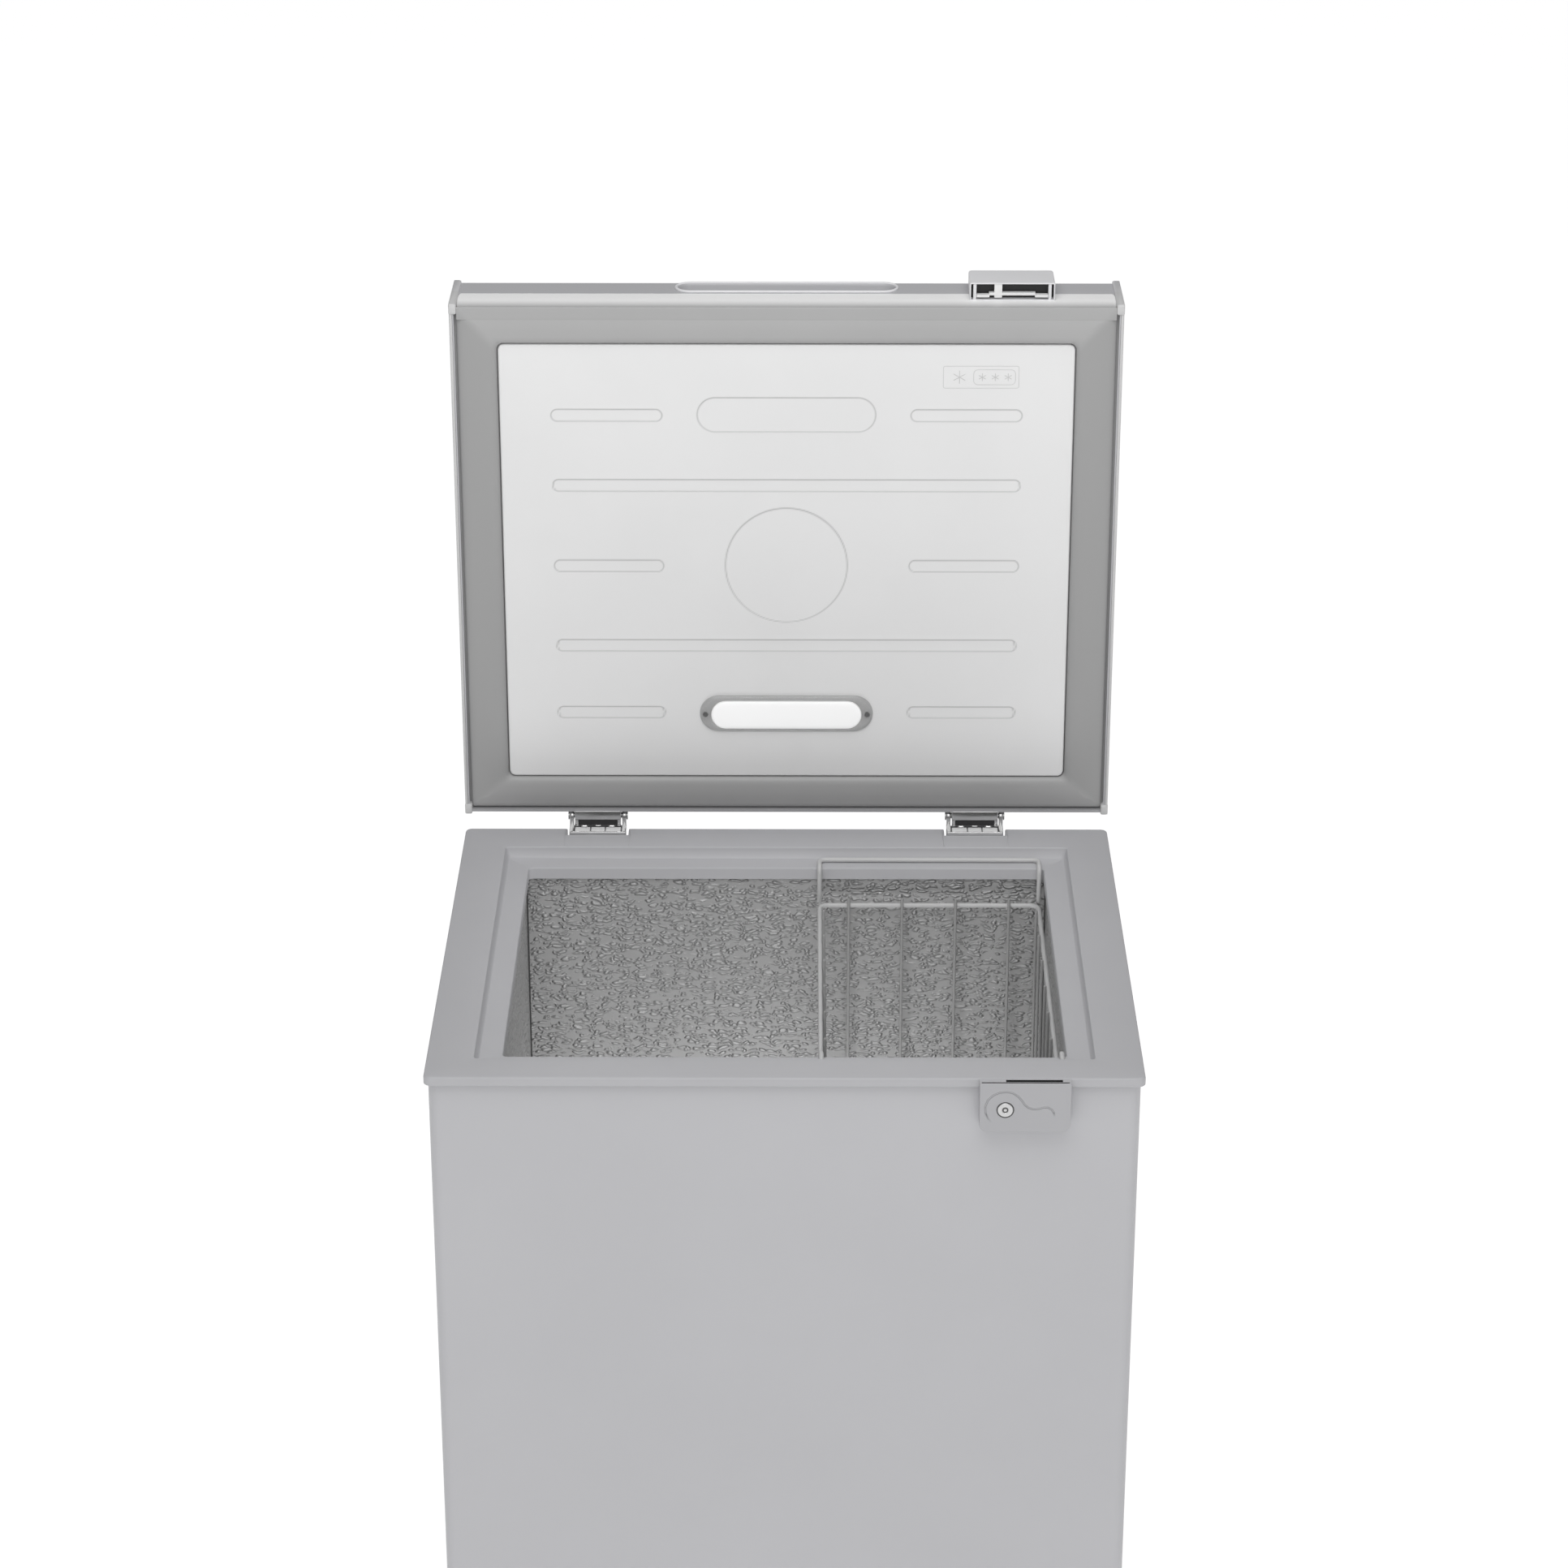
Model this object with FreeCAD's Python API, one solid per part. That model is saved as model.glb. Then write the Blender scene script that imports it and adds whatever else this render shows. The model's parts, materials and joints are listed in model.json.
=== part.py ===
"""Chest freezer of the 100 litre class, drawn with its lid standing open.

Sizes are in millimetres. Pieces are drawn from the front edge of the collar's top face: +X to the
right of a person in front, +Y to the back, +Z up. The lid's pieces are drawn shut and are then
turned about the hinge pins. save() moves every piece so that the origin lies on the floor, under
the middle of the whole freezer.
"""
import FreeCAD
import Part
import math
import os

# Whole freezer
WIDTH = 545.0            # collar and lid
DEPTH = 450.0            # collar, front to back
RIM_HEIGHT = 782.0       # floor to the collar's top face
FOOT_HEIGHT = 15.0
FLOOR_Z = -RIM_HEIGHT
BASE_Z = FLOOR_Z + FOOT_HEIGHT
FOOT_X = 225.0
FOOT_Y = {"front": 55.0, "rear": 385.0}
FOOT_R = (15.0, 19.0)    # on the floor and under the base
STUD_R = 4.0
STUD_RISE = 8.0          # above the base's underside

# Screws
SCREW_R = 1.7
SCREW_HOLE_R = 1.8

# Cabinet
SHEET = 0.8              # wall of the painted steel pieces
CABINET_HALF = 269.7
CABINET_FRONT = 5.5
CABINET_BACK = 437.0
CABINET_CORNER = 8.0
CABINET_TOP = -2.7

# Collar: flat top, a step down to a ledge, then a lip over the liner's edge
COLLAR_WALL = 2.5
SKIRT_DROP = 7.6
RIM_OPENING = (-236.0, 236.0, 32.0, 412.0)
LEDGE_DROP = 9.1
THROAT = (-215.8, 215.8, 52.0, 390.0)
LIP_DROP = 19.6
NOTCH_HALF = 26.0

# Liner and compressor hump
LINER_WALL = 1.0
LINER_GAP = 0.2
LINER_TOP = -12.0
LINER_FLOOR = -707.0
HUMP_X = 60.0
HUMP_TOP = -532.0

# Compressor compartment, at the bottom right
BAY_X = 100.0
BAY_TOP = -560.0
TRAY = 1.5
COMPRESSOR = (185.0, 300.0)
COMPRESSOR_R = 62.0
COMPRESSOR_HEIGHT = 150.0
COMPRESSOR_DOME = 32.0
COMPRESSOR_PLATE = (60.0, 82.0, 3.0)     # half width, half depth, thickness
COMPRESSOR_LEG = (48.0, 70.0)            # its bolts, from the middle
COMPRESSOR_PORTS = (-25.0, 30.0)         # suction and delivery stubs, from the middle
PORT_RISE = 90.0
PORT_R = 4.0
PORT_END = 75.0
GROMMET_HEIGHT = 12.0
GROMMET_R = 11.0
BOLT_R = 3.0
BOLT_RISE = 10.0         # above the grommets
NUT_R = 7.0
NUT_HEIGHT = 5.0
START_BOX = (-12.0, 20.0, 24.0, 30.0, 75.0)      # left, right, depth, foot and top
LINE_R = 3.0
LINE_BEND = 10.0
DRIER = (122.0, 90.0)
DRIER_R = 9.0
DRIER_FOOT = 70.0        # above the base
DRIER_LENGTH = 80.0
DRIER_NECK = 12.0
CAPILLARY_R = 1.5

# Cover at the back of the compressor
SERVICE = (112.0, 258.0, -750.0, -577.0)
SERVICE_LAP = 8.0
SERVICE_SCREW = 3.5      # from the opening's edge to its screws
SERVICE_WALL = 3.0
LOUVRES = 8
LOUVRE_FIRST = 52.0
LOUVRE_PITCH = 15.0
LOUVRE_HEIGHT = 6.0
GLAND_INSET = 22.0
GLAND_R = 8.0
GLAND_FLANGE = (11.0, 2.5)
GLAND_NOSE = (6.0, 8.0)
GLAND_BORE = 3.6

# Cooling tubes
TUBE_R = 4.0
TUBE_GAP = 2.0
TUBE_PITCH = 70.0
TUBE_BEND = 10.0
EVAPORATOR_TOP = -80.0
EVAPORATOR_ROWS = 6
CONDENSER_TOP = -120.0
CONDENSER_ROWS = 6

# Hinges
HINGE_X = 160.0
PIN_Y = 454.35
PIN_Z = 10.45
PIN_R = 2.5
PIN_CLEARANCE = 0.06
LEAF_HALF = 19.5
EAR_HALF = 24.0
EAR_WALL = 1.5
EAR_HEAD = 4.6           # round end of an ear, about the pin
EAR_FOOT = (-30.0, -12.0)        # where its slope starts and ends
BRACKET_WALL = 1.6
BRACKET_Z = (-72.0, 2.3)
LEAF_WALL = 1.6
LEAF_TOP = 60.0
KNUCKLE_R = 4.2
RIVET_HEAD = (4.0, 1.2)

# Lid, in its shut position
LID_FRONT = 1.0
LID_BACK = 448.0
LID_UNDER = 3.0
LID_TOP = 68.0
LID_EDGE = 3.0           # rounding of the lid's top front and back edges
TRIM_TOP = 37.0
TRIM_WALL = 2.5
LID_SHEET = 1.0
CAP_WALL = 3.0
CAP_CORNER = 6.2
CAP_PROUD = 2.0
PANEL = (-233.7, 233.7, 33.4, 414.9)
PANEL_WALL = 2.0
PANEL_FACE = 3.5
PANEL_SEAT = 8.0
GASKET = (-268.0, 268.0, 3.5, 445.5)
GASKET_FACE = 0.5
GASKET_OUTER_FACE = 2.5
BEAD_DEPTH = 0.6

# Lamp in the lid
LAMP = (-72.6, 72.6, 340.8, 373.4)
LENS = (-63.0, 63.0, 345.6, 370.5)
LAMP_DEPTH = 24.0
LAMP_SCREW_X = (-67.8, 67.8)
LAMP_SCREW_Y = (LAMP[2] + LAMP[3]) / 2
LAMP_SCREW_R = 1.2

# Grip cup in the lid's front
GRIP_HALF = 91.0
GRIP_LOW = 39.5
GRIP_HIGH = 65.0
GRIP_DEPTH = 14.0

# Lid lock: a key barrel in the cabinet swings a hook up into a housing on the lid
PLATE = (147.0, 216.0)
PLATE_FRONT = -6.5
PLATE_LOW = -42.0
PLATE_TOP = -0.5
PLATE_WALL = 1.5
PLATE_CORNER = 7.0
SLOT = (166.8, 209.6)
BARREL = (166.5, -23.2)
BARREL_R = 6.8
BARREL_FRONT = -7.3
BARREL_BACK = 16.0
KEYWAY = (0.8, 3.0, 6.0)         # half width, half height and depth
HUB_WALL = 2.7
BARB = (2.0, 4.0)                # width, and rise above the arm
HOOK_REACH = 47.0
HOOK_HALF = 3.5
HOOK_FRONT = -3.9
HOOK_BACK = -2.1
HOOK_REST = -12.0        # degrees above level, unlocked
HOUSING = (148.0, 217.0)
HOUSING_FRONT = -13.8
HOUSING_LOW = 19.0
HOUSING_HIGH = 57.0
HOUSING_WALL = 1.6
RIB = (167.7, 174.0)

# Controls, low on the front at the right
CONTROL = (150.0, 250.0, -720.0, -660.0)
CONTROL_LAP = 6.0        # of the bezel over the cabinet's opening
CONTROL_ROOM = 45.0      # how far back the opening reaches
BEZEL = 2.0
KNOB = (180.0, -690.0)
KNOB_R = 15.0
KNOB_FRONT = -7.0
KNOB_GRIP = (3.5, 13.0)  # half width and half length of the bar
KNOB_BAR = 5.0           # how far the bar stands off the skirt
KNOB_GAP = 0.3           # between the knob's skirt and the bezel
SHAFT_R = 3.0
SHAFT_LENGTH = 18.0
THERMOSTAT = (17.0, 20.0, 5.0, 32.0)     # half width, half height, front and back
PILOT_R = 3.5
PILOT_PROUD = 0.8
PILOT_LENGTH = 10.0
PILOT_X = (208.0, 222.0, 236.0)

# Defrost drain, at the left
DRAIN = (-150.0, 100.0)
DRAIN_R = 9.0
DRAIN_BORE = 7.0
DRAIN_Z = -745.0
DRAIN_BEND = 14.0
STOPPER_LENGTH = 14.0
PLUG_HEAD = (13.0, 3.0)
PLUG_TAB = (7.0, 1.5, 10.0)
CAP_HEAD = (14.0, 4.0)
CAP_TAB = (9.0, 1.5, 7.0)
PLUG_CLEARANCE = 0.1

# Wire basket
RAIL_R = 2.0
WIRE_R = 1.3
BASKET = (28.0, 212.0, 57.0, 385.0)
BASKET_RAIL_Z = -41.0
BASKET_FLOOR_Z = -240.0
BASKET_WIRE_TOP = -33.0
BASKET_LEDGE = (37.5, 402.0)
BASKET_CORNER = 8.0
BASKET_HOOK_BEND = 5.0
BASKET_FIRST = 24.6
BASKET_ACROSS = 4
BASKET_PITCH = 44.8
BASKET_ALONG = 7

# Where the drawing's zero lies in the finished frame: the hinge turns the lid's top to the back
BACKMOST = PIN_Y + LID_TOP - PIN_Z
SHIFT = FreeCAD.Vector(0, -(BACKMOST + BARREL_FRONT) / 2, RIM_HEIGHT)

EDGE = 0.5               # how far a cutting shape runs past the face that it opens


def save(name, shape):
    """Writes one piece, moved from the drawing's zero to the floor."""
    moved = shape.copy()
    moved.translate(SHIFT)
    moved.exportStep(f"parts/{name}.step")
    print(f"{name}: {len(moved.Solids)} solid, {moved.Volume / 1000:.1f} cm3, {moved.isValid()}")


def vec(x, y, z):
    return FreeCAD.Vector(x, y, z)


def block(x0, x1, y0, y1, z0, z1):
    """A box between two corners."""
    return Part.makeBox(x1 - x0, y1 - y0, z1 - z0, vec(x0, y0, z0))


def slab(rect, z0, z1):
    """A box over a rectangle (x0, x1, y0, y1)."""
    return block(*rect, z0, z1)


def grow(rect, by):
    x0, x1, y0, y1 = rect
    return (x0 - by, x1 + by, y0 - by, y1 + by)


def soften(shape, radius, along, test=lambda point: True):
    """Rounds the straight edges that run along an axis and whose middle passes the test."""
    edges = []
    for edge in shape.Edges:
        start, end = edge.Vertexes[0].Point, edge.Vertexes[-1].Point
        run = end - start
        if run.Length > EDGE and abs(run.normalize().dot(along)) > 0.999:
            if test((start + end) / 2):
                edges.append(edge)
    return shape.makeFillet(radius, edges)


X, Y, Z = vec(1, 0, 0), vec(0, 1, 0), vec(0, 0, 1)


def rounded(rect, z0, z1, radius):
    """An upright block with its four upright edges rounded."""
    return soften(slab(rect, z0, z1), radius, Z)


def frame(outer, inner, z0, z1, radius=0.0):
    """A flat ring between two rectangles."""
    body = rounded(outer, z0, z1, radius) if radius else slab(outer, z0, z1)
    return body.cut(slab(inner, z0 - EDGE, z1 + EDGE))


def disc(centre, radius, height, along):
    return Part.makeCylinder(radius, height, centre, along)


def pill(rect, z0, z1):
    """An upright block with round ends, long in x."""
    x0, x1, y0, y1 = rect
    r = (y1 - y0) / 2
    middle = block(x0 + r, x1 - r, y0, y1, z0, z1)
    ends = [disc(vec(x, y0 + r, z0), r, z1 - z0, Z) for x in (x0 + r, x1 - r)]
    return middle.fuse(ends).removeSplitter()


def pill_upright(half, z0, z1, y0, y1):
    """A block with round ends whose outline lies in an x-z plane."""
    flat = pill((-half, half, z0, z1), -y1, -y0)
    flat.rotate(vec(0, 0, 0), X, 90)
    return flat


def rod(start, end, radius):
    run = end - start
    return Part.makeCylinder(radius, run.Length, start, run)


def bent_wire(points, bend):
    """Straight runs through the points, joined by arcs of one radius."""
    edges, last = [], points[0]
    for before, corner, after in zip(points, points[1:], points[2:]):
        u, w = (before - corner).normalize(), (after - corner).normalize()
        half = u.getAngle(w) / 2
        reach = bend / math.tan(half)
        centre = corner + (u + w).normalize() * (bend / math.sin(half))
        start, end = corner + u * reach, corner + w * reach
        middle = centre + (corner - centre).normalize() * bend
        if (start - last).Length > 1e-6:
            edges.append(Part.LineSegment(last, start).toShape())
        edges.append(Part.Arc(start, middle, end).toShape())
        last = end
    edges.append(Part.LineSegment(last, points[-1]).toShape())
    return Part.Wire(edges)


def pipe(path, radius):
    """A round bar along a wire."""
    first = path.Edges[0]
    begin, along = first.valueAt(first.FirstParameter), first.tangentAt(first.FirstParameter)
    section = Part.Wire(Part.Circle(begin, along, radius).toShape())
    return path.makePipeShell([section], True, True)


def serpentine(corners, top, rows, outward):
    """One tube that runs to and fro over the same corners, row under row.

    Half-round bends at its two ends, in the plane of the last run, lead to the next row.
    """
    edges = []
    half = TUBE_PITCH / 2
    for row in range(rows):
        z = top - row * TUBE_PITCH
        order = corners if row % 2 == 0 else corners[::-1]
        points = [vec(x, y, z) for x, y in order]
        edges += bent_wire(points, TUBE_BEND).Edges
        if row + 1 < rows:
            end = points[-1]
            middle = end + outward * half - Z * half
            edges.append(Part.Arc(end, middle, end - Z * TUBE_PITCH).toShape())
    return pipe(Part.Wire(edges), TUBE_R)


def lid(shape):
    """Turns a piece of the shut lid to where it stands when the lid is open."""
    shape.rotate(vec(0, PIN_Y, PIN_Z), X, -90)
    return shape


def screw(tip, along, head_r=3.5, shank_r=SCREW_R, length=12.0, head=2.0):
    """A pan-head screw: tip is the underside of the head and along points out of it."""
    shank = Part.makeCylinder(shank_r, length, tip, along * -1)
    return shank.fuse(Part.makeCylinder(head_r, head, tip, along)).removeSplitter()


def holes_to_back(points, y0, y1, radius=SCREW_HOLE_R):
    """Round holes along y through the points (x, z)."""
    return [disc(vec(x, y0, z), radius, y1 - y0, Y) for x, z in points]


def compound(shapes):
    return Part.makeCompound(list(shapes))


# ---------------------------------------------------------------- cabinet

WRAP = (-CABINET_HALF, CABINET_HALF, CABINET_FRONT, CABINET_BACK)
INSIDE = (-CABINET_HALF + SHEET, CABINET_HALF - SHEET, CABINET_FRONT + SHEET, CABINET_BACK - SHEET)
BAY = (BAY_X, INSIDE[1], INSIDE[2], INSIDE[3])
LINER_INNER = grow(THROAT, COLLAR_WALL + LINER_GAP)
LINER_OUTER = grow(LINER_INNER, LINER_WALL)
SIDE_VENTS = [(-735.0 + 20.0 * i) for i in range(7)]
BARREL_HOLE_R = BARREL_R + 0.4
BRACKET_SCREWS = [(side * HINGE_X + dx, z) for side in (-1, 1) for dx in (-14, 14) for z in (-42, -62)]
LEAF_SCREWS = [(side * HINGE_X + dx, z) for side in (-1, 1) for dx in (-12, 12) for z in (42, 54)]
SERVICE_SCREWS = [(x, z) for x in (SERVICE[0] - SERVICE_SCREW, SERVICE[1] + SERVICE_SCREW)
                  for z in (SERVICE[2] - SERVICE_SCREW, SERVICE[3] + SERVICE_SCREW)]


def barrel_hole(radius):
    return disc(vec(BARREL[0], PLATE_FRONT, BARREL[1]), radius, 30.0, Y)


def control_hole(by=0.0):
    x0, x1, z0, z1 = CONTROL
    edge = CONTROL_LAP + by
    return block(x0 + edge, x1 - edge, CABINET_FRONT - EDGE, CONTROL_ROOM, z0 + edge, z1 - edge)


def drain_path():
    x, y = DRAIN
    return bent_wire([vec(x, y, LINER_FLOOR - LINER_WALL), vec(x, y, DRAIN_Z),
                      vec(x, CABINET_FRONT, DRAIN_Z)], DRAIN_BEND)


def fit_corners(shape):
    """Rounds a piece's upright edges where they meet the rounded front corners of the cabinet."""
    return soften(shape, CABINET_CORNER - SHEET, Z, lambda p: p.y < 100 and abs(p.x) > 200)


def outer_wrap():
    """Painted steel sheet round the front and both sides, open at the back."""
    body = soften(slab(WRAP, BASE_Z, CABINET_TOP), CABINET_CORNER, Z, lambda p: p.y < 100)
    hollow = slab((INSIDE[0], INSIDE[1], INSIDE[2], CABINET_BACK + 1), BASE_Z - 1, 0)
    hollow = soften(hollow, CABINET_CORNER - SHEET, Z, lambda p: p.y < 100)
    body = body.cut(hollow)
    vents = [block(INSIDE[1] - 1, CABINET_HALF + 1, 130.0, 330.0, z, z + 6.0) for z in SIDE_VENTS]
    outlet = disc(vec(DRAIN[0], CABINET_FRONT - 1, DRAIN_Z), DRAIN_R, 3.0, Y)
    return body.cut(vents + [barrel_hole(BARREL_HOLE_R), control_hole(), outlet])


def back_panel():
    """Flat sheet across the back, with an opening to the compressor."""
    x0, x1, z0, z1 = SERVICE
    sheet = block(INSIDE[0], INSIDE[1], INSIDE[3], CABINET_BACK, BASE_Z, CABINET_TOP)
    holes = holes_to_back(BRACKET_SCREWS + SERVICE_SCREWS, INSIDE[3] - 1, CABINET_BACK + 1)
    return sheet.cut(holes + [block(x0, x1, INSIDE[3] - 1, CABINET_BACK + 1, z0, z1)])


def stud_holes():
    """Room for the feet's studs."""
    return [disc(vec(side * FOOT_X, y, BASE_Z - 1), STUD_R + 0.1, STUD_RISE + 2, Z)
            for side in (-1, 1) for y in FOOT_Y.values()]


def base_plate():
    sheet = block(INSIDE[0], BAY_X - SHEET, INSIDE[2], INSIDE[3], BASE_Z, BASE_Z + 1.0)
    return fit_corners(sheet).cut(stud_holes())


def compressor_tray():
    return fit_corners(slab(BAY, BASE_Z, BASE_Z + TRAY)).cut(stud_holes())


def bay_partition():
    """Bent sheet that keeps the foam out of the compressor compartment."""
    outer = block(BAY_X - SHEET, INSIDE[1], BAY[2], BAY[3], BASE_Z, BAY_TOP + SHEET)
    return fit_corners(outer).cut(block(BAY_X, INSIDE[1] + 1, BAY[2] - 1, BAY[3] + 1, BASE_Z - 1, BAY_TOP))


def liner_solid(rect, floor, hump_x, hump_top, top):
    """The liner's space: a box with a step over the compressor."""
    step = block(hump_x, rect[1] + 1, rect[2] - 1, rect[3] + 1, floor - 1, hump_top)
    return slab(rect, floor, top).cut(step)


def inner_liner():
    """Aluminium tub, stepped up at the right."""
    outer = liner_solid(LINER_OUTER, LINER_FLOOR - LINER_WALL, HUMP_X + LINER_WALL,
                        HUMP_TOP - LINER_WALL, LINER_TOP)
    inner = liner_solid(LINER_INNER, LINER_FLOOR, HUMP_X, HUMP_TOP, LINER_TOP + 1)
    hole = disc(vec(*DRAIN, LINER_FLOOR - 5), DRAIN_BORE, 10.0, Z)
    return outer.cut([inner, hole])


def top_collar():
    """Plastic frame that joins the liner to the cabinet and carries the lid's seal."""
    rim = (-WIDTH / 2, WIDTH / 2, 0.0, DEPTH)
    bottom = -LEDGE_DROP - COLLAR_WALL
    step_out = grow(RIM_OPENING, COLLAR_WALL)
    body = frame(rim, grow(rim, -COLLAR_WALL), -SKIRT_DROP, 0.0, 5.0)
    body = body.fuse([
        frame(grow(rim, -1.0), RIM_OPENING, -COLLAR_WALL, 0.0),
        frame(step_out, RIM_OPENING, bottom, -COLLAR_WALL),
        frame(step_out, THROAT, bottom, -LEDGE_DROP),
        frame(grow(THROAT, COLLAR_WALL), THROAT, -LIP_DROP, bottom),
    ]).removeSplitter()
    for side in (-1, 1):
        centre = side * HINGE_X
        body = body.cut(block(centre - NOTCH_HALF, centre + NOTCH_HALF, CABINET_BACK + 0.4,
                              DEPTH + 1, -SKIRT_DROP - 1, 1))
    return body


def evaporator_path(row_offset=TUBE_R + TUBE_GAP):
    x0, _, y0, y1 = grow(LINER_OUTER, row_offset)
    end = LINER_OUTER[1] - 20.0
    return [(end, y0), (x0, y0), (x0, y1), (end, y1)]


def condenser_path():
    x0, x1, y0, _ = grow(INSIDE, -TUBE_R - TUBE_GAP)
    end = INSIDE[3] - TUBE_PITCH / 2 - TUBE_R * 2
    return [(x1, end), (x1, y0), (x0, y0), (x0, end)]


def evaporator_coil():
    return serpentine(evaporator_path(), EVAPORATOR_TOP, EVAPORATOR_ROWS, X)


def condenser_coil():
    return serpentine(condenser_path(), CONDENSER_TOP, CONDENSER_ROWS, Y)


def tube_grooves():
    """Room in the foam for both coils: one band per row and a pocket at each bend."""
    band = TUBE_R + TUBE_GAP
    wide = 2 * band + TUBE_GAP
    cuts = []
    for row in range(EVAPORATOR_ROWS):
        z = EVAPORATOR_TOP - row * TUBE_PITCH
        cuts.append(frame(grow(LINER_OUTER, wide), LINER_OUTER, z - band, z + band))
    for row in range(EVAPORATOR_ROWS - 1):
        z = EVAPORATOR_TOP - row * TUBE_PITCH
        near, far = (LINER_OUTER[3], 1) if row % 2 == 0 else (LINER_OUTER[2], -1)
        y0, y1 = sorted((near, near + far * wide))
        x0 = evaporator_path()[0][0] - 1
        cuts.append(block(x0, x0 + TUBE_PITCH / 2 + band + 2, y0, y1, z - TUBE_PITCH - band, z + band))
    for row in range(CONDENSER_ROWS):
        z = CONDENSER_TOP - row * TUBE_PITCH
        cuts.append(frame(INSIDE, grow(INSIDE, -wide), z - band, z + band))
    for row in range(CONDENSER_ROWS - 1):
        z = CONDENSER_TOP - row * TUBE_PITCH
        near, far = (INSIDE[0], 1) if row % 2 == 0 else (INSIDE[1], -1)
        x0, x1 = sorted((near, near + far * wide))
        y0 = condenser_path()[0][1] - 1
        cuts.append(block(x0, x1, y0, INSIDE[3], z - TUBE_PITCH - band, z + band))
    return cuts


def insulation_foam():
    """Foam that fills the walls, with room for the tubes, the lock and the controls."""
    body = fit_corners(slab(INSIDE, BASE_Z + 1.0, CABINET_TOP))
    collar_room = slab(grow(RIM_OPENING, COLLAR_WALL), -LEDGE_DROP - COLLAR_WALL, 0.0)
    lip_room = slab(grow(THROAT, COLLAR_WALL), -LIP_DROP, 0.0)
    liner_room = liner_solid(LINER_OUTER, LINER_FLOOR - LINER_WALL, HUMP_X + LINER_WALL,
                             HUMP_TOP - LINER_WALL, 0.0)
    bay_room = block(BAY_X - SHEET, INSIDE[1] + 1, 0, DEPTH, BASE_Z - 1, BAY_TOP + SHEET)
    drain_room = pipe(drain_path(), DRAIN_R)
    screw_room = holes_to_back(BRACKET_SCREWS, CABINET_BACK - 12, CABINET_BACK)
    return body.cut([collar_room, lip_room, liner_room, bay_room, drain_room,
                     barrel_hole(BARREL_R + 1.0)] + screw_room + stud_holes() + tube_grooves())


def foot(side, row):
    """Moulded foot with a threaded stud, standing on the floor."""
    x, y = side * FOOT_X, FOOT_Y[row]
    pad = Part.makeCone(*FOOT_R, FOOT_HEIGHT, vec(x, y, FLOOR_Z), Z)
    stud = disc(vec(x, y, FLOOR_Z + 2), STUD_R, FOOT_HEIGHT - 2 + STUD_RISE, Z)
    return pad.fuse(stud).removeSplitter()


# ---------------------------------------------------------------- cooling machine

COMPRESSOR_LEGS = [(COMPRESSOR[0] + i * COMPRESSOR_LEG[0], COMPRESSOR[1] + j * COMPRESSOR_LEG[1])
                   for i in (-1, 1) for j in (-1, 1)]
MACHINE_Z = BASE_Z + TRAY + GROMMET_HEIGHT


def compressor():
    """Hermetic shell with a domed top and bottom, on a footed plate."""
    x, y = COMPRESSOR
    dome = COMPRESSOR_DOME
    body = disc(vec(x, y, MACHINE_Z + dome), COMPRESSOR_R, COMPRESSOR_HEIGHT - 2 * dome, Z)
    for z in (MACHINE_Z + dome, MACHINE_Z + COMPRESSOR_HEIGHT - dome):
        ball = Part.makeSphere(COMPRESSOR_R)
        squash = FreeCAD.Matrix()
        squash.scale(1, 1, dome / COMPRESSOR_R)
        ball = ball.transformGeometry(squash)
        ball.translate(vec(x, y, z))
        body = body.fuse(ball)
    half_x, half_y, thick = COMPRESSOR_PLATE
    feet = rounded((x - half_x, x + half_x, y - half_y, y + half_y), MACHINE_Z, MACHINE_Z + thick, 10.0)
    holes = [disc(vec(*leg, MACHINE_Z - 1), BOLT_R + 1.5, 6.0, Z) for leg in COMPRESSOR_LEGS]
    z = MACHINE_Z + PORT_RISE
    stubs = [rod(vec(x + dx, y - 30, z), vec(x + dx, y - PORT_END, z), PORT_R)
             for dx in COMPRESSOR_PORTS]
    return body.fuse(feet.cut(holes)).fuse(stubs).removeSplitter()


def compressor_start_box():
    """Cover over the compressor's terminals and starting relay."""
    x, y = COMPRESSOR
    front = y - COMPRESSOR_R
    left, right, depth, foot_z, top_z = START_BOX
    box = block(x + left, x + right, front - depth, front + 6, MACHINE_Z + foot_z, MACHINE_Z + top_z)
    return soften(box, 4.0, Y).cut(disc(vec(x, y, MACHINE_Z), COMPRESSOR_R, COMPRESSOR_HEIGHT, Z))


def compressor_grommets():
    """Four rubber rings between the compressor's feet and the tray."""
    rings = []
    for leg in COMPRESSOR_LEGS:
        ring = disc(vec(*leg, BASE_Z + TRAY), GROMMET_R, GROMMET_HEIGHT, Z)
        rings.append(ring.cut(disc(vec(*leg, BASE_Z), BOLT_R + 0.2, 30.0, Z)))
    return compound(rings)


def compressor_bolts():
    """Four bolts up through the grommets, each with its nut on top."""
    bolts = []
    top = MACHINE_Z + COMPRESSOR_PLATE[2]
    for leg in COMPRESSOR_LEGS:
        shank = disc(vec(*leg, BASE_Z + TRAY), BOLT_R, GROMMET_HEIGHT + BOLT_RISE, Z)
        corners = [vec(leg[0] + NUT_R * math.cos(math.radians(60 * i)),
                       leg[1] + NUT_R * math.sin(math.radians(60 * i)), top) for i in range(7)]
        nut = Part.Face(Part.makePolygon(corners)).extrude(Z * NUT_HEIGHT)
        bolts.append(shank.fuse(nut).removeSplitter())
    return compound(bolts)


def refrigerant_lines():
    """Suction and delivery tubes between the compressor and the foam."""
    x, y = COMPRESSOR
    z = MACHINE_Z + PORT_RISE
    tubes = []
    for dx, rise_x, rise_y in zip(COMPRESSOR_PORTS, (x - 40, x + 50), (150.0, 120.0)):
        path = [vec(x + dx, y - PORT_END, z), vec(x + dx, rise_y, z), vec(rise_x, rise_y, z),
                vec(rise_x, rise_y, BAY_TOP)]
        tubes.append(pipe(bent_wire(path, LINE_BEND), LINE_R))
    return compound(tubes)


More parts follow.
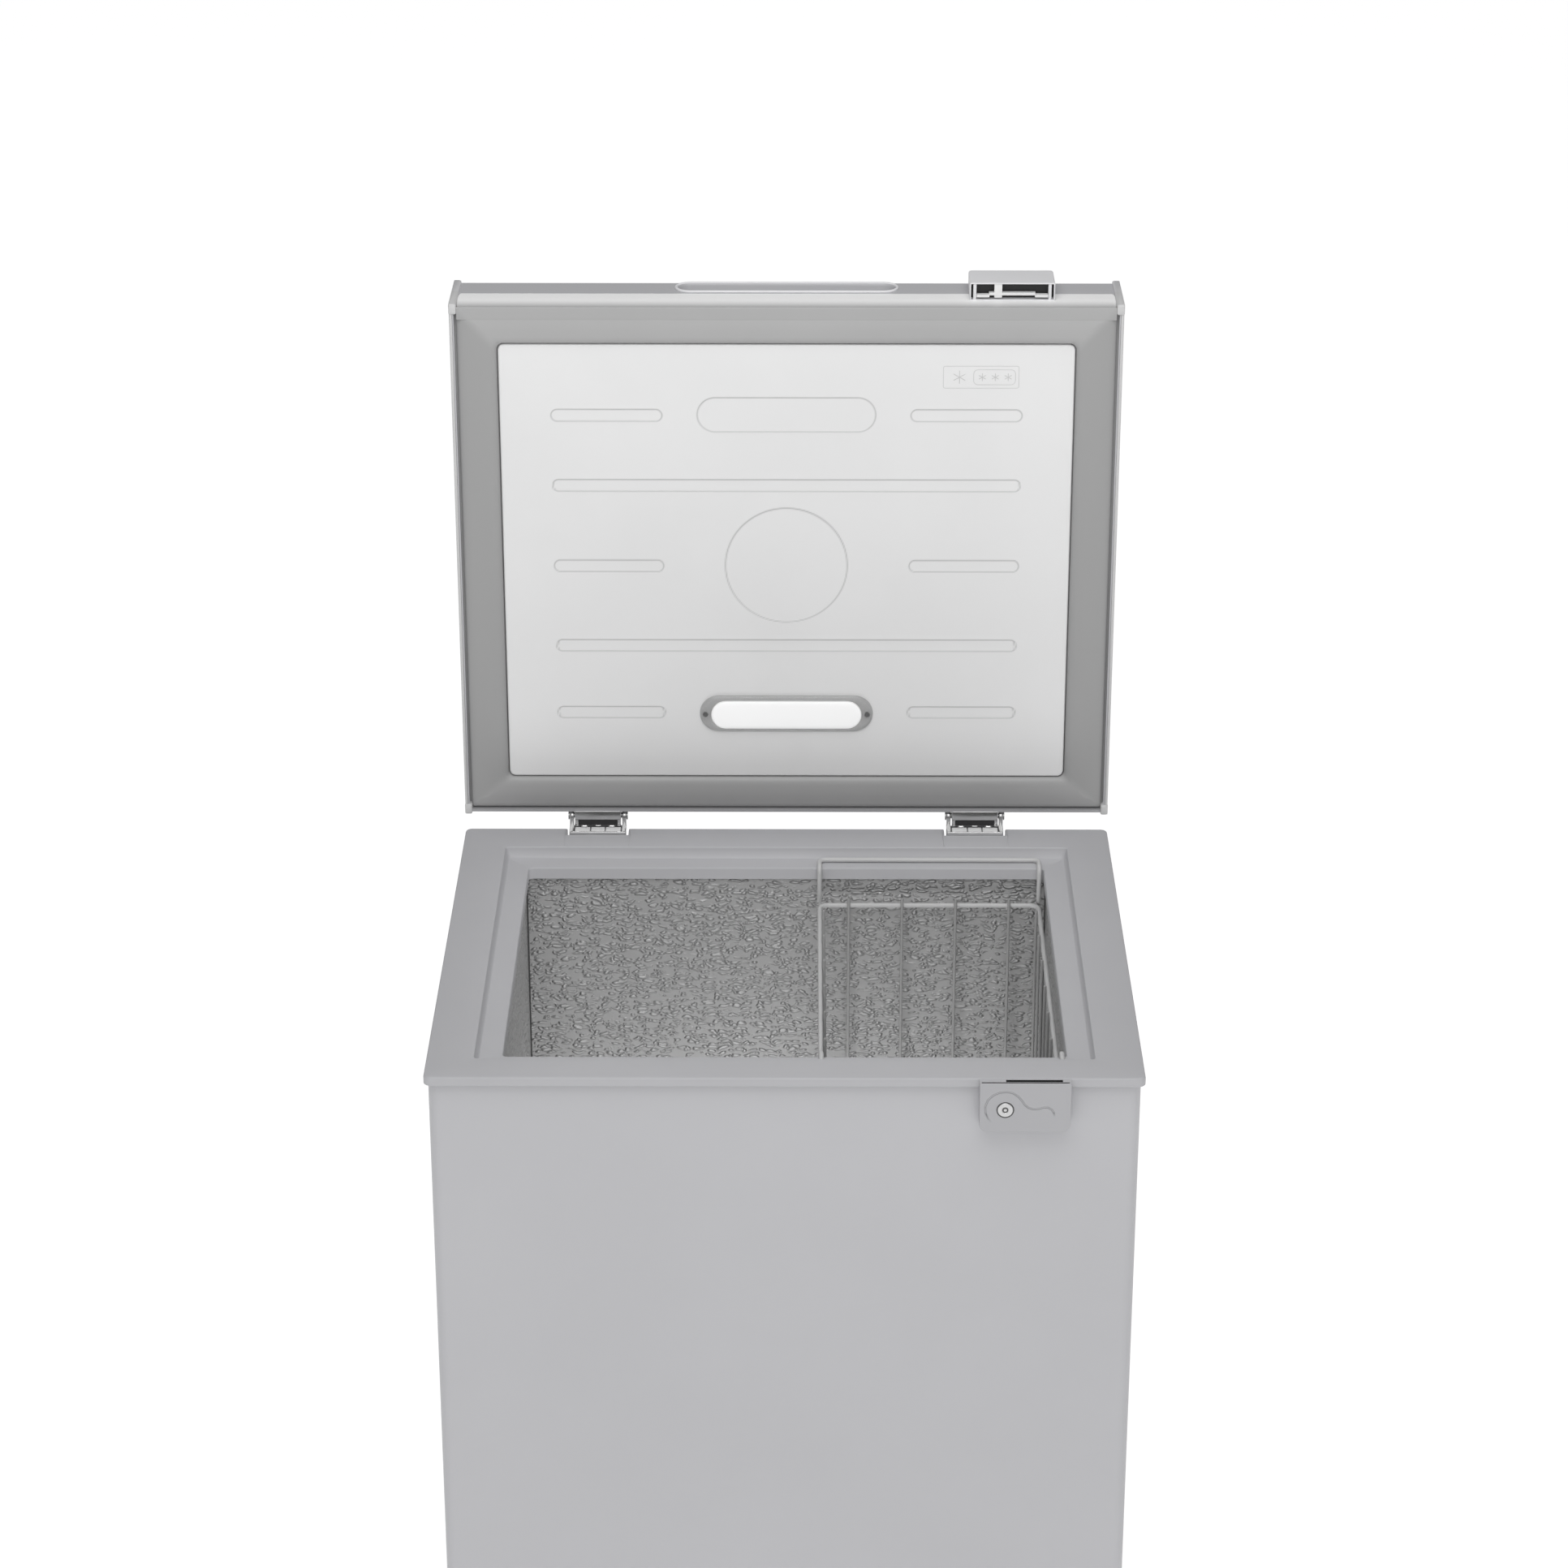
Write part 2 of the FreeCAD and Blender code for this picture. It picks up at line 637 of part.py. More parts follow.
def filter_drier():
    """Copper drier between the condenser and the capillary."""
    x, y = DRIER
    z = BASE_Z + DRIER_FOOT
    top = z + DRIER_LENGTH
    can = disc(vec(x, y, z), DRIER_R, DRIER_LENGTH, Z)
    necks = [Part.makeCone(DRIER_R, LINE_R, DRIER_NECK, vec(x, y, top), Z),
             Part.makeCone(DRIER_R, 2.0, DRIER_NECK, vec(x, y, z), Z * -1)]
    tails = [rod(vec(x, y, top + DRIER_NECK), vec(x, y, BAY_TOP), LINE_R),
             rod(vec(x, y, BASE_Z + TRAY + 30), vec(x, y, z - DRIER_NECK), CAPILLARY_R)]
    return can.fuse(necks + tails).removeSplitter()


def rear_service_cover():
    """Louvred plastic cover over the opening behind the compressor."""
    x0, x1, z0, z1 = SERVICE
    lap, outside = SERVICE_LAP, CABINET_BACK + SERVICE_WALL
    plate = soften(block(x0 - lap, x1 + lap, CABINET_BACK, outside, z0 - lap, z1 + lap), 6.0, Y)
    lows = [z0 + LOUVRE_FIRST + LOUVRE_PITCH * i for i in range(LOUVRES)]
    slots = [block(x0 + 10, x1 - 10, CABINET_BACK - 1, outside + 1, z, z + LOUVRE_HEIGHT) for z in lows]
    gland = disc(vec(x1 - GLAND_INSET, CABINET_BACK - 1, z0 + GLAND_INSET), GLAND_R, 5.0, Y)
    return plate.cut(slots + [gland] + holes_to_back(SERVICE_SCREWS, CABINET_BACK - 1, CABINET_BACK + 4))


def service_cover_screws():
    outside = CABINET_BACK + SERVICE_WALL
    return compound(screw(vec(x, outside, z), Y, length=8.0) for x, z in SERVICE_SCREWS)


def power_inlet_gland():
    """Strain relief bushing through which the mains lead enters."""
    x, z = SERVICE[1] - GLAND_INSET, SERVICE[2] + GLAND_INSET
    outside = CABINET_BACK + SERVICE_WALL
    flange_r, flange_wall = GLAND_FLANGE
    nose_r, nose_length = GLAND_NOSE
    body = disc(vec(x, CABINET_BACK - 6, z), GLAND_R, 6 + SERVICE_WALL, Y)
    flange = disc(vec(x, outside, z), flange_r, flange_wall, Y)
    nose = Part.makeCone(GLAND_R, nose_r, nose_length, vec(x, outside + flange_wall, z), Y)
    return body.fuse([flange, nose]).cut(disc(vec(x, CABINET_BACK - 10, z), GLAND_BORE, 30.0, Y))


# ---------------------------------------------------------------- drain and controls

def drain_channel():
    """Elbow through the foam from the liner's floor to the front."""
    path = drain_path()
    return pipe(path, DRAIN_R).cut(pipe(path, DRAIN_BORE))


def drain_plug():
    """Stopper in the liner's floor, pulled up to defrost."""
    x, y = DRAIN
    head_r, head = PLUG_HEAD
    half, thin, tall = PLUG_TAB
    top = LINER_FLOOR + head
    stem = disc(vec(x, y, LINER_FLOOR - STOPPER_LENGTH), DRAIN_BORE - PLUG_CLEARANCE, STOPPER_LENGTH, Z)
    cap = disc(vec(x, y, LINER_FLOOR), head_r, head, Z)
    tab = block(x - half, x + half, y - thin, y + thin, top, top + tall)
    return stem.fuse([cap, tab]).removeSplitter()


def drain_cap():
    """Outer stopper of the drain, pulled forward to let the water out."""
    x = DRAIN[0]
    head_r, head = CAP_HEAD
    half, thin, long = CAP_TAB
    face = CABINET_FRONT - head
    stem = disc(vec(x, CABINET_FRONT, DRAIN_Z), DRAIN_BORE - PLUG_CLEARANCE, STOPPER_LENGTH, Y)
    cap = disc(vec(x, face, DRAIN_Z), head_r, head, Y)
    tab = block(x - half, x + half, face - long, face, DRAIN_Z - thin, DRAIN_Z + thin)
    return stem.fuse([cap, tab]).removeSplitter()


def control_panel():
    """Plastic bezel round the thermostat knob and the pilot lamps."""
    x0, x1, z0, z1 = CONTROL
    plate = soften(block(x0, x1, CABINET_FRONT - BEZEL, CABINET_FRONT, z0, z1), 6.0, Y)
    back = control_hole(0.5).common(block(x0, x1, CABINET_FRONT, CABINET_FRONT + 3, z0, z1))
    body = plate.fuse(back)
    lamps = [disc(vec(x, 0, KNOB[1]), PILOT_R + 0.1, 12.0, Y) for x in PILOT_X]
    shaft = disc(vec(KNOB[0], 0, KNOB[1]), SHAFT_R + 0.3, 12.0, Y)
    return body.cut(lamps + [shaft]).removeSplitter()


def thermostat_body():
    """Switch body behind the panel, with the bushing that the knob's shaft turns in."""
    x, z = KNOB
    half, tall, front, back = THERMOSTAT
    box = block(x - half, x + half, CABINET_FRONT + front, CABINET_FRONT + back, z - tall, z + tall)
    return box.cut(disc(vec(x, 0, z), SHAFT_R + 0.1, 26.0, Y))


def thermostat_knob():
    """Knob with a grip bar across its face, on a shaft."""
    x, z = KNOB
    half, tall = KNOB_GRIP
    foot_y = CABINET_FRONT - BEZEL - KNOB_GAP
    face = KNOB_FRONT + KNOB_BAR
    skirt = disc(vec(x, face, z), KNOB_R, foot_y - face, Y)
    bar = block(x - half, x + half, KNOB_FRONT, face, z - tall, z + tall)
    shaft = disc(vec(x, foot_y, z), SHAFT_R, SHAFT_LENGTH, Y)
    return skirt.fuse([bar, shaft]).removeSplitter()


def pilot_lamps():
    """Three round lenses: power, running and fast freeze."""
    front = CABINET_FRONT - BEZEL - PILOT_PROUD
    return compound(disc(vec(x, front, KNOB[1]), PILOT_R, PILOT_LENGTH, Y) for x in PILOT_X)


# ---------------------------------------------------------------- lock

def lock_plate():
    """Escutcheon box round the key barrel, with a slot on top that the hook rises through."""
    x0, x1 = PLATE
    body = block(x0, x1, PLATE_FRONT, CABINET_FRONT, PLATE_LOW, PLATE_TOP)
    body = soften(body, PLATE_CORNER, Y, lambda p: p.z < -30)
    hollow = block(x0 + PLATE_WALL, x1 - PLATE_WALL, PLATE_FRONT + PLATE_WALL, CABINET_FRONT + 1,
                   PLATE_LOW + PLATE_WALL, PLATE_TOP - PLATE_WALL)
    skirt = block(x0 - 1, x1 + 1, -0.05, CABINET_FRONT + 1, -SKIRT_DROP - 0.05, 1)
    slot = block(*SLOT, HOOK_FRONT - 0.7, HOOK_BACK + 0.7, PLATE_TOP - 3, PLATE_TOP + 1)
    hole = disc(vec(BARREL[0], PLATE_FRONT - 1, BARREL[1]), BARREL_R + 0.08, 4.0, Y)
    hollow = soften(hollow, PLATE_CORNER - 2, Y, lambda p: p.z < -30)
    return body.cut([hollow, skirt, slot, hole])


def lock_barrel():
    """Key barrel with its keyway."""
    x, z = BARREL
    body = disc(vec(x, BARREL_FRONT, z), BARREL_R, BARREL_BACK - BARREL_FRONT, Y)
    half, tall, deep = KEYWAY
    keyway = block(x - half, x + half, BARREL_FRONT - 1, BARREL_FRONT + deep, z - tall, z + tall)
    return body.cut(keyway)


def lock_hook():
    """Flat steel hook on the barrel. Its barb catches over the rib of the lid's housing."""
    x, z = BARREL
    barb_x, barb_z = BARB
    hub = disc(vec(x, HOOK_FRONT, z), BARREL_R + HUB_WALL, HOOK_BACK - HOOK_FRONT, Y)
    arm = block(x, x + HOOK_REACH, HOOK_FRONT, HOOK_BACK, z - HOOK_HALF, z + HOOK_HALF)
    end = x + HOOK_REACH
    barb = block(end - barb_x, end, HOOK_FRONT, HOOK_BACK, z, z + HOOK_HALF + barb_z)
    body = hub.fuse([arm, barb]).removeSplitter()
    body = body.cut(disc(vec(x, HOOK_FRONT - 1, z), BARREL_R, 5.0, Y))
    body.rotate(vec(x, 0, z), Y * -1, HOOK_REST)
    return body


# ---------------------------------------------------------------- hinges

def hinge_bracket(side):
    """Steel bracket on the back panel: a plate and two ears that hold the pin."""
    x = side * HINGE_X
    outside = CABINET_BACK + 0.4 + BRACKET_WALL
    plate = block(x - EAR_HALF, x + EAR_HALF, CABINET_BACK + 0.4, outside, *BRACKET_Z)
    ears = []
    for x0 in (x - EAR_HALF, x + EAR_HALF - EAR_WALL):
        low, back, near = CABINET_BACK + 1.0, PIN_Y + EAR_HEAD, PIN_Y - EAR_HEAD
        outline = [vec(x0, low, EAR_FOOT[0]), vec(x0, back, EAR_FOOT[1]), vec(x0, back, PIN_Z),
                   vec(x0, near, PIN_Z), vec(x0, near, BRACKET_Z[1]), vec(x0, low, BRACKET_Z[1])]
        ear = Part.Face(Part.makePolygon(outline + outline[:1])).extrude(X * EAR_WALL)
        ears.append(ear.fuse(disc(vec(x0, PIN_Y, PIN_Z), EAR_HEAD, EAR_WALL, X)))
    pin_hole = disc(vec(x - 30, PIN_Y, PIN_Z), PIN_R, 60.0, X)
    holes = holes_to_back(BRACKET_SCREWS, CABINET_BACK - 1, CABINET_BACK + 3)
    return plate.fuse(ears).removeSplitter().cut([pin_hole] + holes)


def hinge_pins():
    """Two riveted pins, one in each bracket."""
    pins = []
    head_r, head = RIVET_HEAD
    for side in (-1, 1):
        start = side * HINGE_X - EAR_HALF
        pin = disc(vec(start - head, PIN_Y, PIN_Z), PIN_R, 2 * (EAR_HALF + head), X)
        heads = [disc(vec(x, PIN_Y, PIN_Z), head_r, head, X) for x in (start - head, start + 2 * EAR_HALF)]
        pins.append(pin.fuse(heads).removeSplitter())
    return compound(pins)


def hinge_bracket_screws():
    outside = CABINET_BACK + 0.4 + BRACKET_WALL
    return compound(screw(vec(x, outside, z), Y) for x, z in BRACKET_SCREWS)


def hinge_leaf(side):
    """Leaf on the lid's back, curled round the pin."""
    x = side * HINGE_X
    x0, x1 = x - LEAF_HALF, x + LEAF_HALF
    plate = block(x0, x1, LID_BACK, LID_BACK + LEAF_WALL, PIN_Z - 2, LEAF_TOP)
    bridge = block(x0, x1, LID_BACK + 1.0, PIN_Y, PIN_Z - 2, PIN_Z + 2)
    knuckle = disc(vec(x0, PIN_Y, PIN_Z), KNUCKLE_R, x1 - x0, X)
    bore = disc(vec(x0 - 1, PIN_Y, PIN_Z), PIN_R + PIN_CLEARANCE, x1 - x0 + 2, X)
    holes = holes_to_back(LEAF_SCREWS, LID_BACK - 1, LID_BACK + 3)
    return lid(plate.fuse([bridge, knuckle]).removeSplitter().cut([bore] + holes))


def hinge_leaf_screws():
    return lid(compound(screw(vec(x, LID_BACK + LEAF_WALL, z), Y) for x, z in LEAF_SCREWS))


# ---------------------------------------------------------------- lid

CAP_X = WIDTH / 2 - CAP_WALL


def lid_edges(shape, radius=LID_EDGE):
    """Rounds the top edges that run across the lid."""
    return soften(shape, radius, X, lambda p: p.z > LID_TOP - 5)


def lid_outer_panel():
    """Painted steel tray, open below."""
    outer = lid_edges(block(-CAP_X, CAP_X, LID_FRONT, LID_BACK, LID_UNDER, LID_TOP))
    inner = block(-CAP_X + LID_SHEET, CAP_X - LID_SHEET, LID_FRONT + LID_SHEET,
                  LID_BACK - LID_SHEET, LID_UNDER - 1, LID_TOP - LID_SHEET)
    inner = lid_edges(inner, LID_EDGE - LID_SHEET)
    ends = [block(-CAP_X, CAP_X, y - 5, y + 5, 0, TRIM_TOP) for y in (LID_FRONT, LID_BACK)]
    grip = pill_upright(GRIP_HALF, GRIP_LOW, GRIP_HIGH, -5, 5)
    holes = holes_to_back(LEAF_SCREWS, LID_BACK - 2, LID_BACK + 1)
    return lid(outer.cut([inner, grip] + ends + holes))


def lid_front_trim():
    """Rounded plastic strip under the front edge of the lid."""
    half = WIDTH / 2 - CAP_CORNER
    outer = block(-half, half, LID_FRONT, LID_FRONT + 10, LID_UNDER, TRIM_TOP)
    outer = soften(outer, 6.0, X, lambda p: p.y < 5 and p.z < 10)
    inner = block(-half - 1, half + 1, LID_FRONT + TRIM_WALL, 40, LID_UNDER + TRIM_WALL, 60)
    return lid(outer.cut([inner, slab(grow(GASKET, 0.1), 0, 60)]))


def lid_rear_trim():
    """Plastic strip under the back edge of the lid."""
    half = WIDTH / 2 - CAP_CORNER
    return lid(block(-half, half, LID_BACK - TRIM_WALL + 0.2, LID_BACK, LID_UNDER, TRIM_TOP))


def lid_end_cap(side):
    """Moulded cap over one end of the lid, thicker at its two corners."""
    plate = lid_edges(block(CAP_X, WIDTH / 2, LID_FRONT, LID_BACK, LID_UNDER, LID_TOP))
    corners = [block(WIDTH / 2 - CAP_CORNER, WIDTH / 2, y0, y1, LID_UNDER, z1)
               for y0, y1, z1 in ((LID_FRONT - CAP_PROUD, GASKET[2], TRIM_TOP),
                                  (GASKET[3], LID_BACK + CAP_PROUD, TRIM_TOP),
                                  (LID_FRONT - CAP_PROUD, LID_FRONT, LID_TOP - LID_EDGE),
                                  (LID_BACK, LID_BACK + CAP_PROUD, LID_TOP - LID_EDGE))]
    body = plate.fuse(corners).removeSplitter()
    if side < 0:
        body = body.mirror(vec(0, 0, 0), X)
    return lid(body)


def lid_handle_cup():
    """Finger recess in the front of the lid, with a rim that stands a little proud."""
    outer = pill_upright(GRIP_HALF, GRIP_LOW, GRIP_HIGH, LID_FRONT - 1.0, LID_FRONT + GRIP_DEPTH + 1.5)
    inner = pill_upright(GRIP_HALF - 2.5, GRIP_LOW + 2.5, GRIP_HIGH - 2.5, -5, LID_FRONT + GRIP_DEPTH)
    return lid(outer.cut(inner))


def latch_housing():
    """Hollow box on the lid's front; the lock's hook swings in through its underside."""
    x0, x1 = HOUSING
    body = block(x0, x1, HOUSING_FRONT, LID_FRONT, HOUSING_LOW, HOUSING_HIGH)
    body = soften(body, 5.0, Z, lambda p: p.y < -10)
    body = soften(body, 6.0, X, lambda p: p.y < -10 and p.z > 40)
    hollow = block(x0 + 2, x1 - 2, HOUSING_FRONT + 2, LID_FRONT - 1, HOUSING_LOW + HOUSING_WALL,
                   HOUSING_HIGH - 2)
    windows = [block(a, b, HOUSING_FRONT + 2, LID_FRONT - 1, HOUSING_LOW - 1, HOUSING_LOW + 5)
               for a, b in ((x0 + 5, RIB[0]), (RIB[1], x1 - 5))]
    return lid(body.cut([hollow] + windows))


def lid_foam():
    """Foam slab between the lid's outer panel and its inner panel."""
    body = block(-CAP_X + LID_SHEET, CAP_X - LID_SHEET, LID_FRONT + TRIM_WALL,
                 LID_BACK - TRIM_WALL, PANEL_SEAT + PANEL_WALL, LID_TOP - LID_SHEET)
    body = lid_edges(body, LID_EDGE - LID_SHEET)
    cup = pill_upright(GRIP_HALF, GRIP_LOW, GRIP_HIGH, -5, LID_FRONT + GRIP_DEPTH + 1.5)
    lamp = pill(LAMP, 0, LAMP_DEPTH)
    screws = holes_to_back(LEAF_SCREWS, LID_BACK - 12, LID_BACK)
    return lid(body.cut([cup, lamp] + screws))


def capsules():
    """Outlines of the beads in the inner panel: three short pairs, two long ones and a wide one."""
    short = [(side * 101.4, side * 191.8, y, y + 10.2) for side in (-1, 1)
             for y in (88.7, 219.8, 351.3)]
    shapes = [(min(a, b), max(a, b), y0, y1) for a, b, y0, y1 in short]
    shapes += [(-191.8, 191.8, 149.3, 159.5), (-191.5, 191.5, 290.8, 301.0)]
    shapes.append((-72.7, 72.7, 78.6, 107.9))
    return shapes


def lid_inner_panel():
    """White plastic pan: a flange under the gasket and a raised middle with shallow beads."""
    flange = slab(grow(GASKET, -1.0), PANEL_SEAT, PANEL_SEAT + PANEL_WALL)
    pan = rounded(PANEL, PANEL_FACE, PANEL_SEAT + PANEL_WALL, 5.0)
    hollow = rounded(grow(PANEL, -PANEL_WALL), PANEL_FACE + PANEL_WALL, 20.0, 3.0)
    beads = [pill(shape, PANEL_FACE - 1, PANEL_FACE + BEAD_DEPTH) for shape in capsules()]
    beads.append(disc(vec(0, 224.4, PANEL_FACE - 1), 50.3, 1 + BEAD_DEPTH, Z))
    lamp = pill(LAMP, -5, 30)
    return lid(flange.fuse(pan).cut([hollow, lamp] + beads))


def lid_gasket():
    """Soft magnetic seal, thicker towards the panel."""
    inner = grow(PANEL, 0.3)
    middle = grow(PANEL, 16.0)
    body = frame(GASKET, inner, GASKET_OUTER_FACE, PANEL_SEAT)
    return lid(body.fuse(frame(middle, inner, GASKET_FACE, PANEL_SEAT)).removeSplitter())


def lamp_housing():
    """Clear cup that holds the lamp in the lid."""
    face = pill(LAMP, PANEL_FACE - 2.5, PANEL_FACE)
    cup = pill(grow(LAMP, -0.5), PANEL_FACE, LAMP_DEPTH)
    hollow = pill(grow(LAMP, -2.5), PANEL_FACE + 1.5, LAMP_DEPTH - 1.5)
    holes = [disc(vec(x, LAMP_SCREW_Y, -5), LAMP_SCREW_R + 0.1, 10.0, Z) for x in LAMP_SCREW_X]
    return lid(face.fuse(cup).cut([hollow, pill(grow(LENS, 0.1), -5, 10)] + holes))


def lamp_lens():
    """White diffuser, slightly crowned."""
    body = pill(LENS, PANEL_FACE - 3.5, PANEL_FACE + 1.5)
    return lid(body)


def lamp_board():
    """Circuit board with a row of light-emitting diodes behind the lens."""
    board = slab((-55.0, 55.0, LENS[2] + 4, LENS[3] - 4), 10.0, 11.6)
    y = (LENS[2] + LENS[3]) / 2
    lights = [block(x - 2.5, x + 2.5, y - 2.5, y + 2.5, 8.6, 10.0) for x in range(-40, 41, 20)]
    return lid(board.fuse(lights).removeSplitter())


def lamp_screws():
    return lid(compound(screw(vec(x, LAMP_SCREW_Y, PANEL_FACE - 2.5), Z * -1, 2.2, LAMP_SCREW_R, 2.4, 0.8)
                        for x in LAMP_SCREW_X))


# ---------------------------------------------------------------- basket

CAGE = grow(BASKET, -(RAIL_R + WIRE_R))
WIRES_X = [BASKET[0] + BASKET_FIRST + BASKET_PITCH * i for i in range(BASKET_ACROSS)]
WIRES_Y = [CAGE[2] + (CAGE[3] - CAGE[2]) * (i + 0.5) / BASKET_ALONG for i in range(BASKET_ALONG)]
CROSS_Z = BASKET_FLOOR_Z - 2 * WIRE_R


def basket_rim():
    """Heavy wire: a rail round the top and a loop at each end that hangs on the collar's ledge."""
    x0, x1, y0, y1 = BASKET
    z, top = BASKET_RAIL_Z, -LEDGE_DROP + RAIL_R + 0.1
    middle = (x0 + x1) / 2
    rail = [vec(middle, y0, z), vec(x1, y0, z), vec(x1, y1, z), vec(x0, y1, z), vec(x0, y0, z),
            vec(middle, y0, z)]
    wires = [pipe(bent_wire(rail, BASKET_CORNER), RAIL_R)]
    for y, out in ((y0, BASKET_LEDGE[0]), (y1, BASKET_LEDGE[1])):
        loop = [vec(x0, y, z + RAIL_R), vec(x0, y, top), vec(x0, out, top), vec(x1, out, top),
                vec(x1, y, top), vec(x1, y, z + RAIL_R)]
        wires.append(pipe(bent_wire(loop, BASKET_HOOK_BEND), RAIL_R))
    return compound(wires)


def basket_floor():
    """Wires along and, just under them, wires across."""
    along = [rod(vec(x, CAGE[2] - WIRE_R, BASKET_FLOOR_Z), vec(x, CAGE[3] + WIRE_R, BASKET_FLOOR_Z),
                 WIRE_R) for x in WIRES_X]
    across = [rod(vec(CAGE[0] - WIRE_R, y, CROSS_Z), vec(CAGE[1] + WIRE_R, y, CROSS_Z), WIRE_R)
              for y in WIRES_Y]
    return compound(along + across)


def basket_end(y):
    """Upright wires at the front or the back."""
    return compound(rod(vec(x, y, BASKET_FLOOR_Z + WIRE_R), vec(x, y, BASKET_WIRE_TOP), WIRE_R)
                    for x in WIRES_X)


def basket_side(x):
    """Upright wires at the left or the right."""
    return compound(rod(vec(x, y, CROSS_Z + WIRE_R), vec(x, y, BASKET_WIRE_TOP), WIRE_R)
                    for y in WIRES_Y)


PIECES = [outer_wrap, back_panel, base_plate, compressor_tray, bay_partition, inner_liner,
          top_collar, insulation_foam, evaporator_coil, condenser_coil, compressor,
          compressor_start_box, compressor_grommets, compressor_bolts, refrigerant_lines,
          filter_drier, rear_service_cover, service_cover_screws, power_inlet_gland,
          drain_channel, drain_plug, drain_cap, control_panel, thermostat_body,
          thermostat_knob, pilot_lamps, lock_plate, lock_barrel, lock_hook, hinge_pins,
          hinge_bracket_screws, hinge_leaf_screws, lid_outer_panel, lid_front_trim,
          lid_rear_trim, lid_handle_cup, latch_housing, lid_foam, lid_inner_panel, lid_gasket,
          lamp_housing, lamp_lens, lamp_board, lamp_screws, basket_rim, basket_floor]

os.makedirs("parts", exist_ok=True)
for piece in PIECES:
    save(piece.__name__, piece())
for side, word in ((-1, "left"), (1, "right")):
    save(f"hinge_bracket_{word}", hinge_bracket(side))
    save(f"hinge_leaf_{word}", hinge_leaf(side))
    save(f"lid_end_cap_{word}", lid_end_cap(side))
    for row in ("front", "rear"):
        save(f"foot_{row}_{word}", foot(side, row))
save("basket_wall_left", basket_side(CAGE[0]))
save("basket_wall_right", basket_side(CAGE[1]))
save("basket_wall_front", basket_end(CAGE[2]))
save("basket_wall_back", basket_end(CAGE[3]))
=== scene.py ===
import json
import math
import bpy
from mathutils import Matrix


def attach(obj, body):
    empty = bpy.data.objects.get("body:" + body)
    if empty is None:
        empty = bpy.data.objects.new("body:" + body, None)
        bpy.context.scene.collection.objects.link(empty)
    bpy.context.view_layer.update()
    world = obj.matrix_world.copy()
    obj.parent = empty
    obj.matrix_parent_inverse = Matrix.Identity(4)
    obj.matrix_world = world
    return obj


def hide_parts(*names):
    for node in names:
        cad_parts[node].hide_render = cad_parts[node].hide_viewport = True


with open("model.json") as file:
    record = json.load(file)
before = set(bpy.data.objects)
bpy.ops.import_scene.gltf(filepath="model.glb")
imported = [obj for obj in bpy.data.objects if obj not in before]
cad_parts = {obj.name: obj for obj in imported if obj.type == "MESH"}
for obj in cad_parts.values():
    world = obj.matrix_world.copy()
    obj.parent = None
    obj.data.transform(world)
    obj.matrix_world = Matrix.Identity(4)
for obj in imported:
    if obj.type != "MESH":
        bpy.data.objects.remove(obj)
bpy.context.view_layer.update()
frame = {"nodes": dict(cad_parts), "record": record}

from types import SimpleNamespace

import bpy
import numpy as np

bl_info = {
    "name": "Chest freezer",
    "version": (1, 0, 0),
    "blender": (4, 5, 0),
    "location": "3D View > Sidebar > Freezer",
    "description": "Surfaces, finishes and studio of a chest freezer with an open lid",
    "category": "Object",
}

# Drawing frame: millimetres from the front edge of the collar's top face. The floor frame is in
# metres from the floor under the middle of the whole freezer.
TO_FLOOR = np.array([0.0, -252.3, 782.0])
PIN = (454.35, 10.45)            # y and z of the lid's hinge line, in the drawing frame
SHARP = math.radians(38)


# ---------------------------------------------------------------- sizes and colours

def grey(level, blue=0.0):
    """Linear colour of a neutral screen grey (0 to 255), a little bluer by blue."""
    channels = [(level + shift) / 255 for shift in (0.0, 0.0, blue)]
    return tuple(c / 12.92 if c < 0.04045 else ((c + 0.055) / 1.055) ** 2.4 for c in channels)


def length(name, description, default):
    """A size in metres for the panel."""
    return bpy.props.FloatProperty(name=name, description=description, default=default,
                                   unit="LENGTH", precision=4)


def colour(name, description, default):
    """A colour for the panel."""
    return bpy.props.FloatVectorProperty(name=name, description=description, default=default,
                                         subtype="COLOR", size=3, min=0.0, max=1.0)


class FreezerSizes(bpy.types.PropertyGroup):
    half_width: length("Half width", "Middle to the outside of the collar and the lid", 0.2725)
    depth: length("Depth", "Front to back of the collar", 0.450)
    skirt: length("Skirt", "Drop of the collar's outer edge", 0.0076)
    wall: length("Wall", "Thickness of the collar's plastic", 0.0025)
    ledge: length("Ledge", "Drop from the collar's top to its ledge", 0.0091)
    lip: length("Lip", "Drop from the collar's top to the end of its lip", 0.0196)
    lid_top: length("Lid height", "Collar to the top of the shut lid", 0.068)
    trim_top: length("Trim height", "Collar to the top of the lid's lower strips", 0.037)
    rail: length("Rail radius", "Heavy wire of the basket", 0.0020)
    wire: length("Wire radius", "Light wire of the basket", 0.0013)
    barrel: length("Barrel radius", "Key barrel of the lock", 0.0068)


class FreezerColours(bpy.types.PropertyGroup):
    paint: colour("Paint", "Painted steel of the cabinet", grey(196, 3))
    collar: colour("Collar", "Plastic of the collar", grey(187, 3))
    lid_paint: colour("Lid paint", "Painted steel of the lid", grey(186, 3))
    strip: colour("Strip", "Plastic strips and caps of the lid", grey(254))
    panel: colour("Inner panel", "White plastic inside the lid", grey(232))
    seal: colour("Seal", "Soft seal of the lid", grey(171))
    aluminium: colour("Aluminium", "Embossed tub", grey(203))
    chrome: colour("Hinge steel", "Plated steel of the hinges", grey(205))


# ---------------------------------------------------------------- shapes

def to_floor(points):
    """Drawing millimetres to floor-frame metres."""
    return (np.asarray(points, float) + TO_FLOOR) / 1000


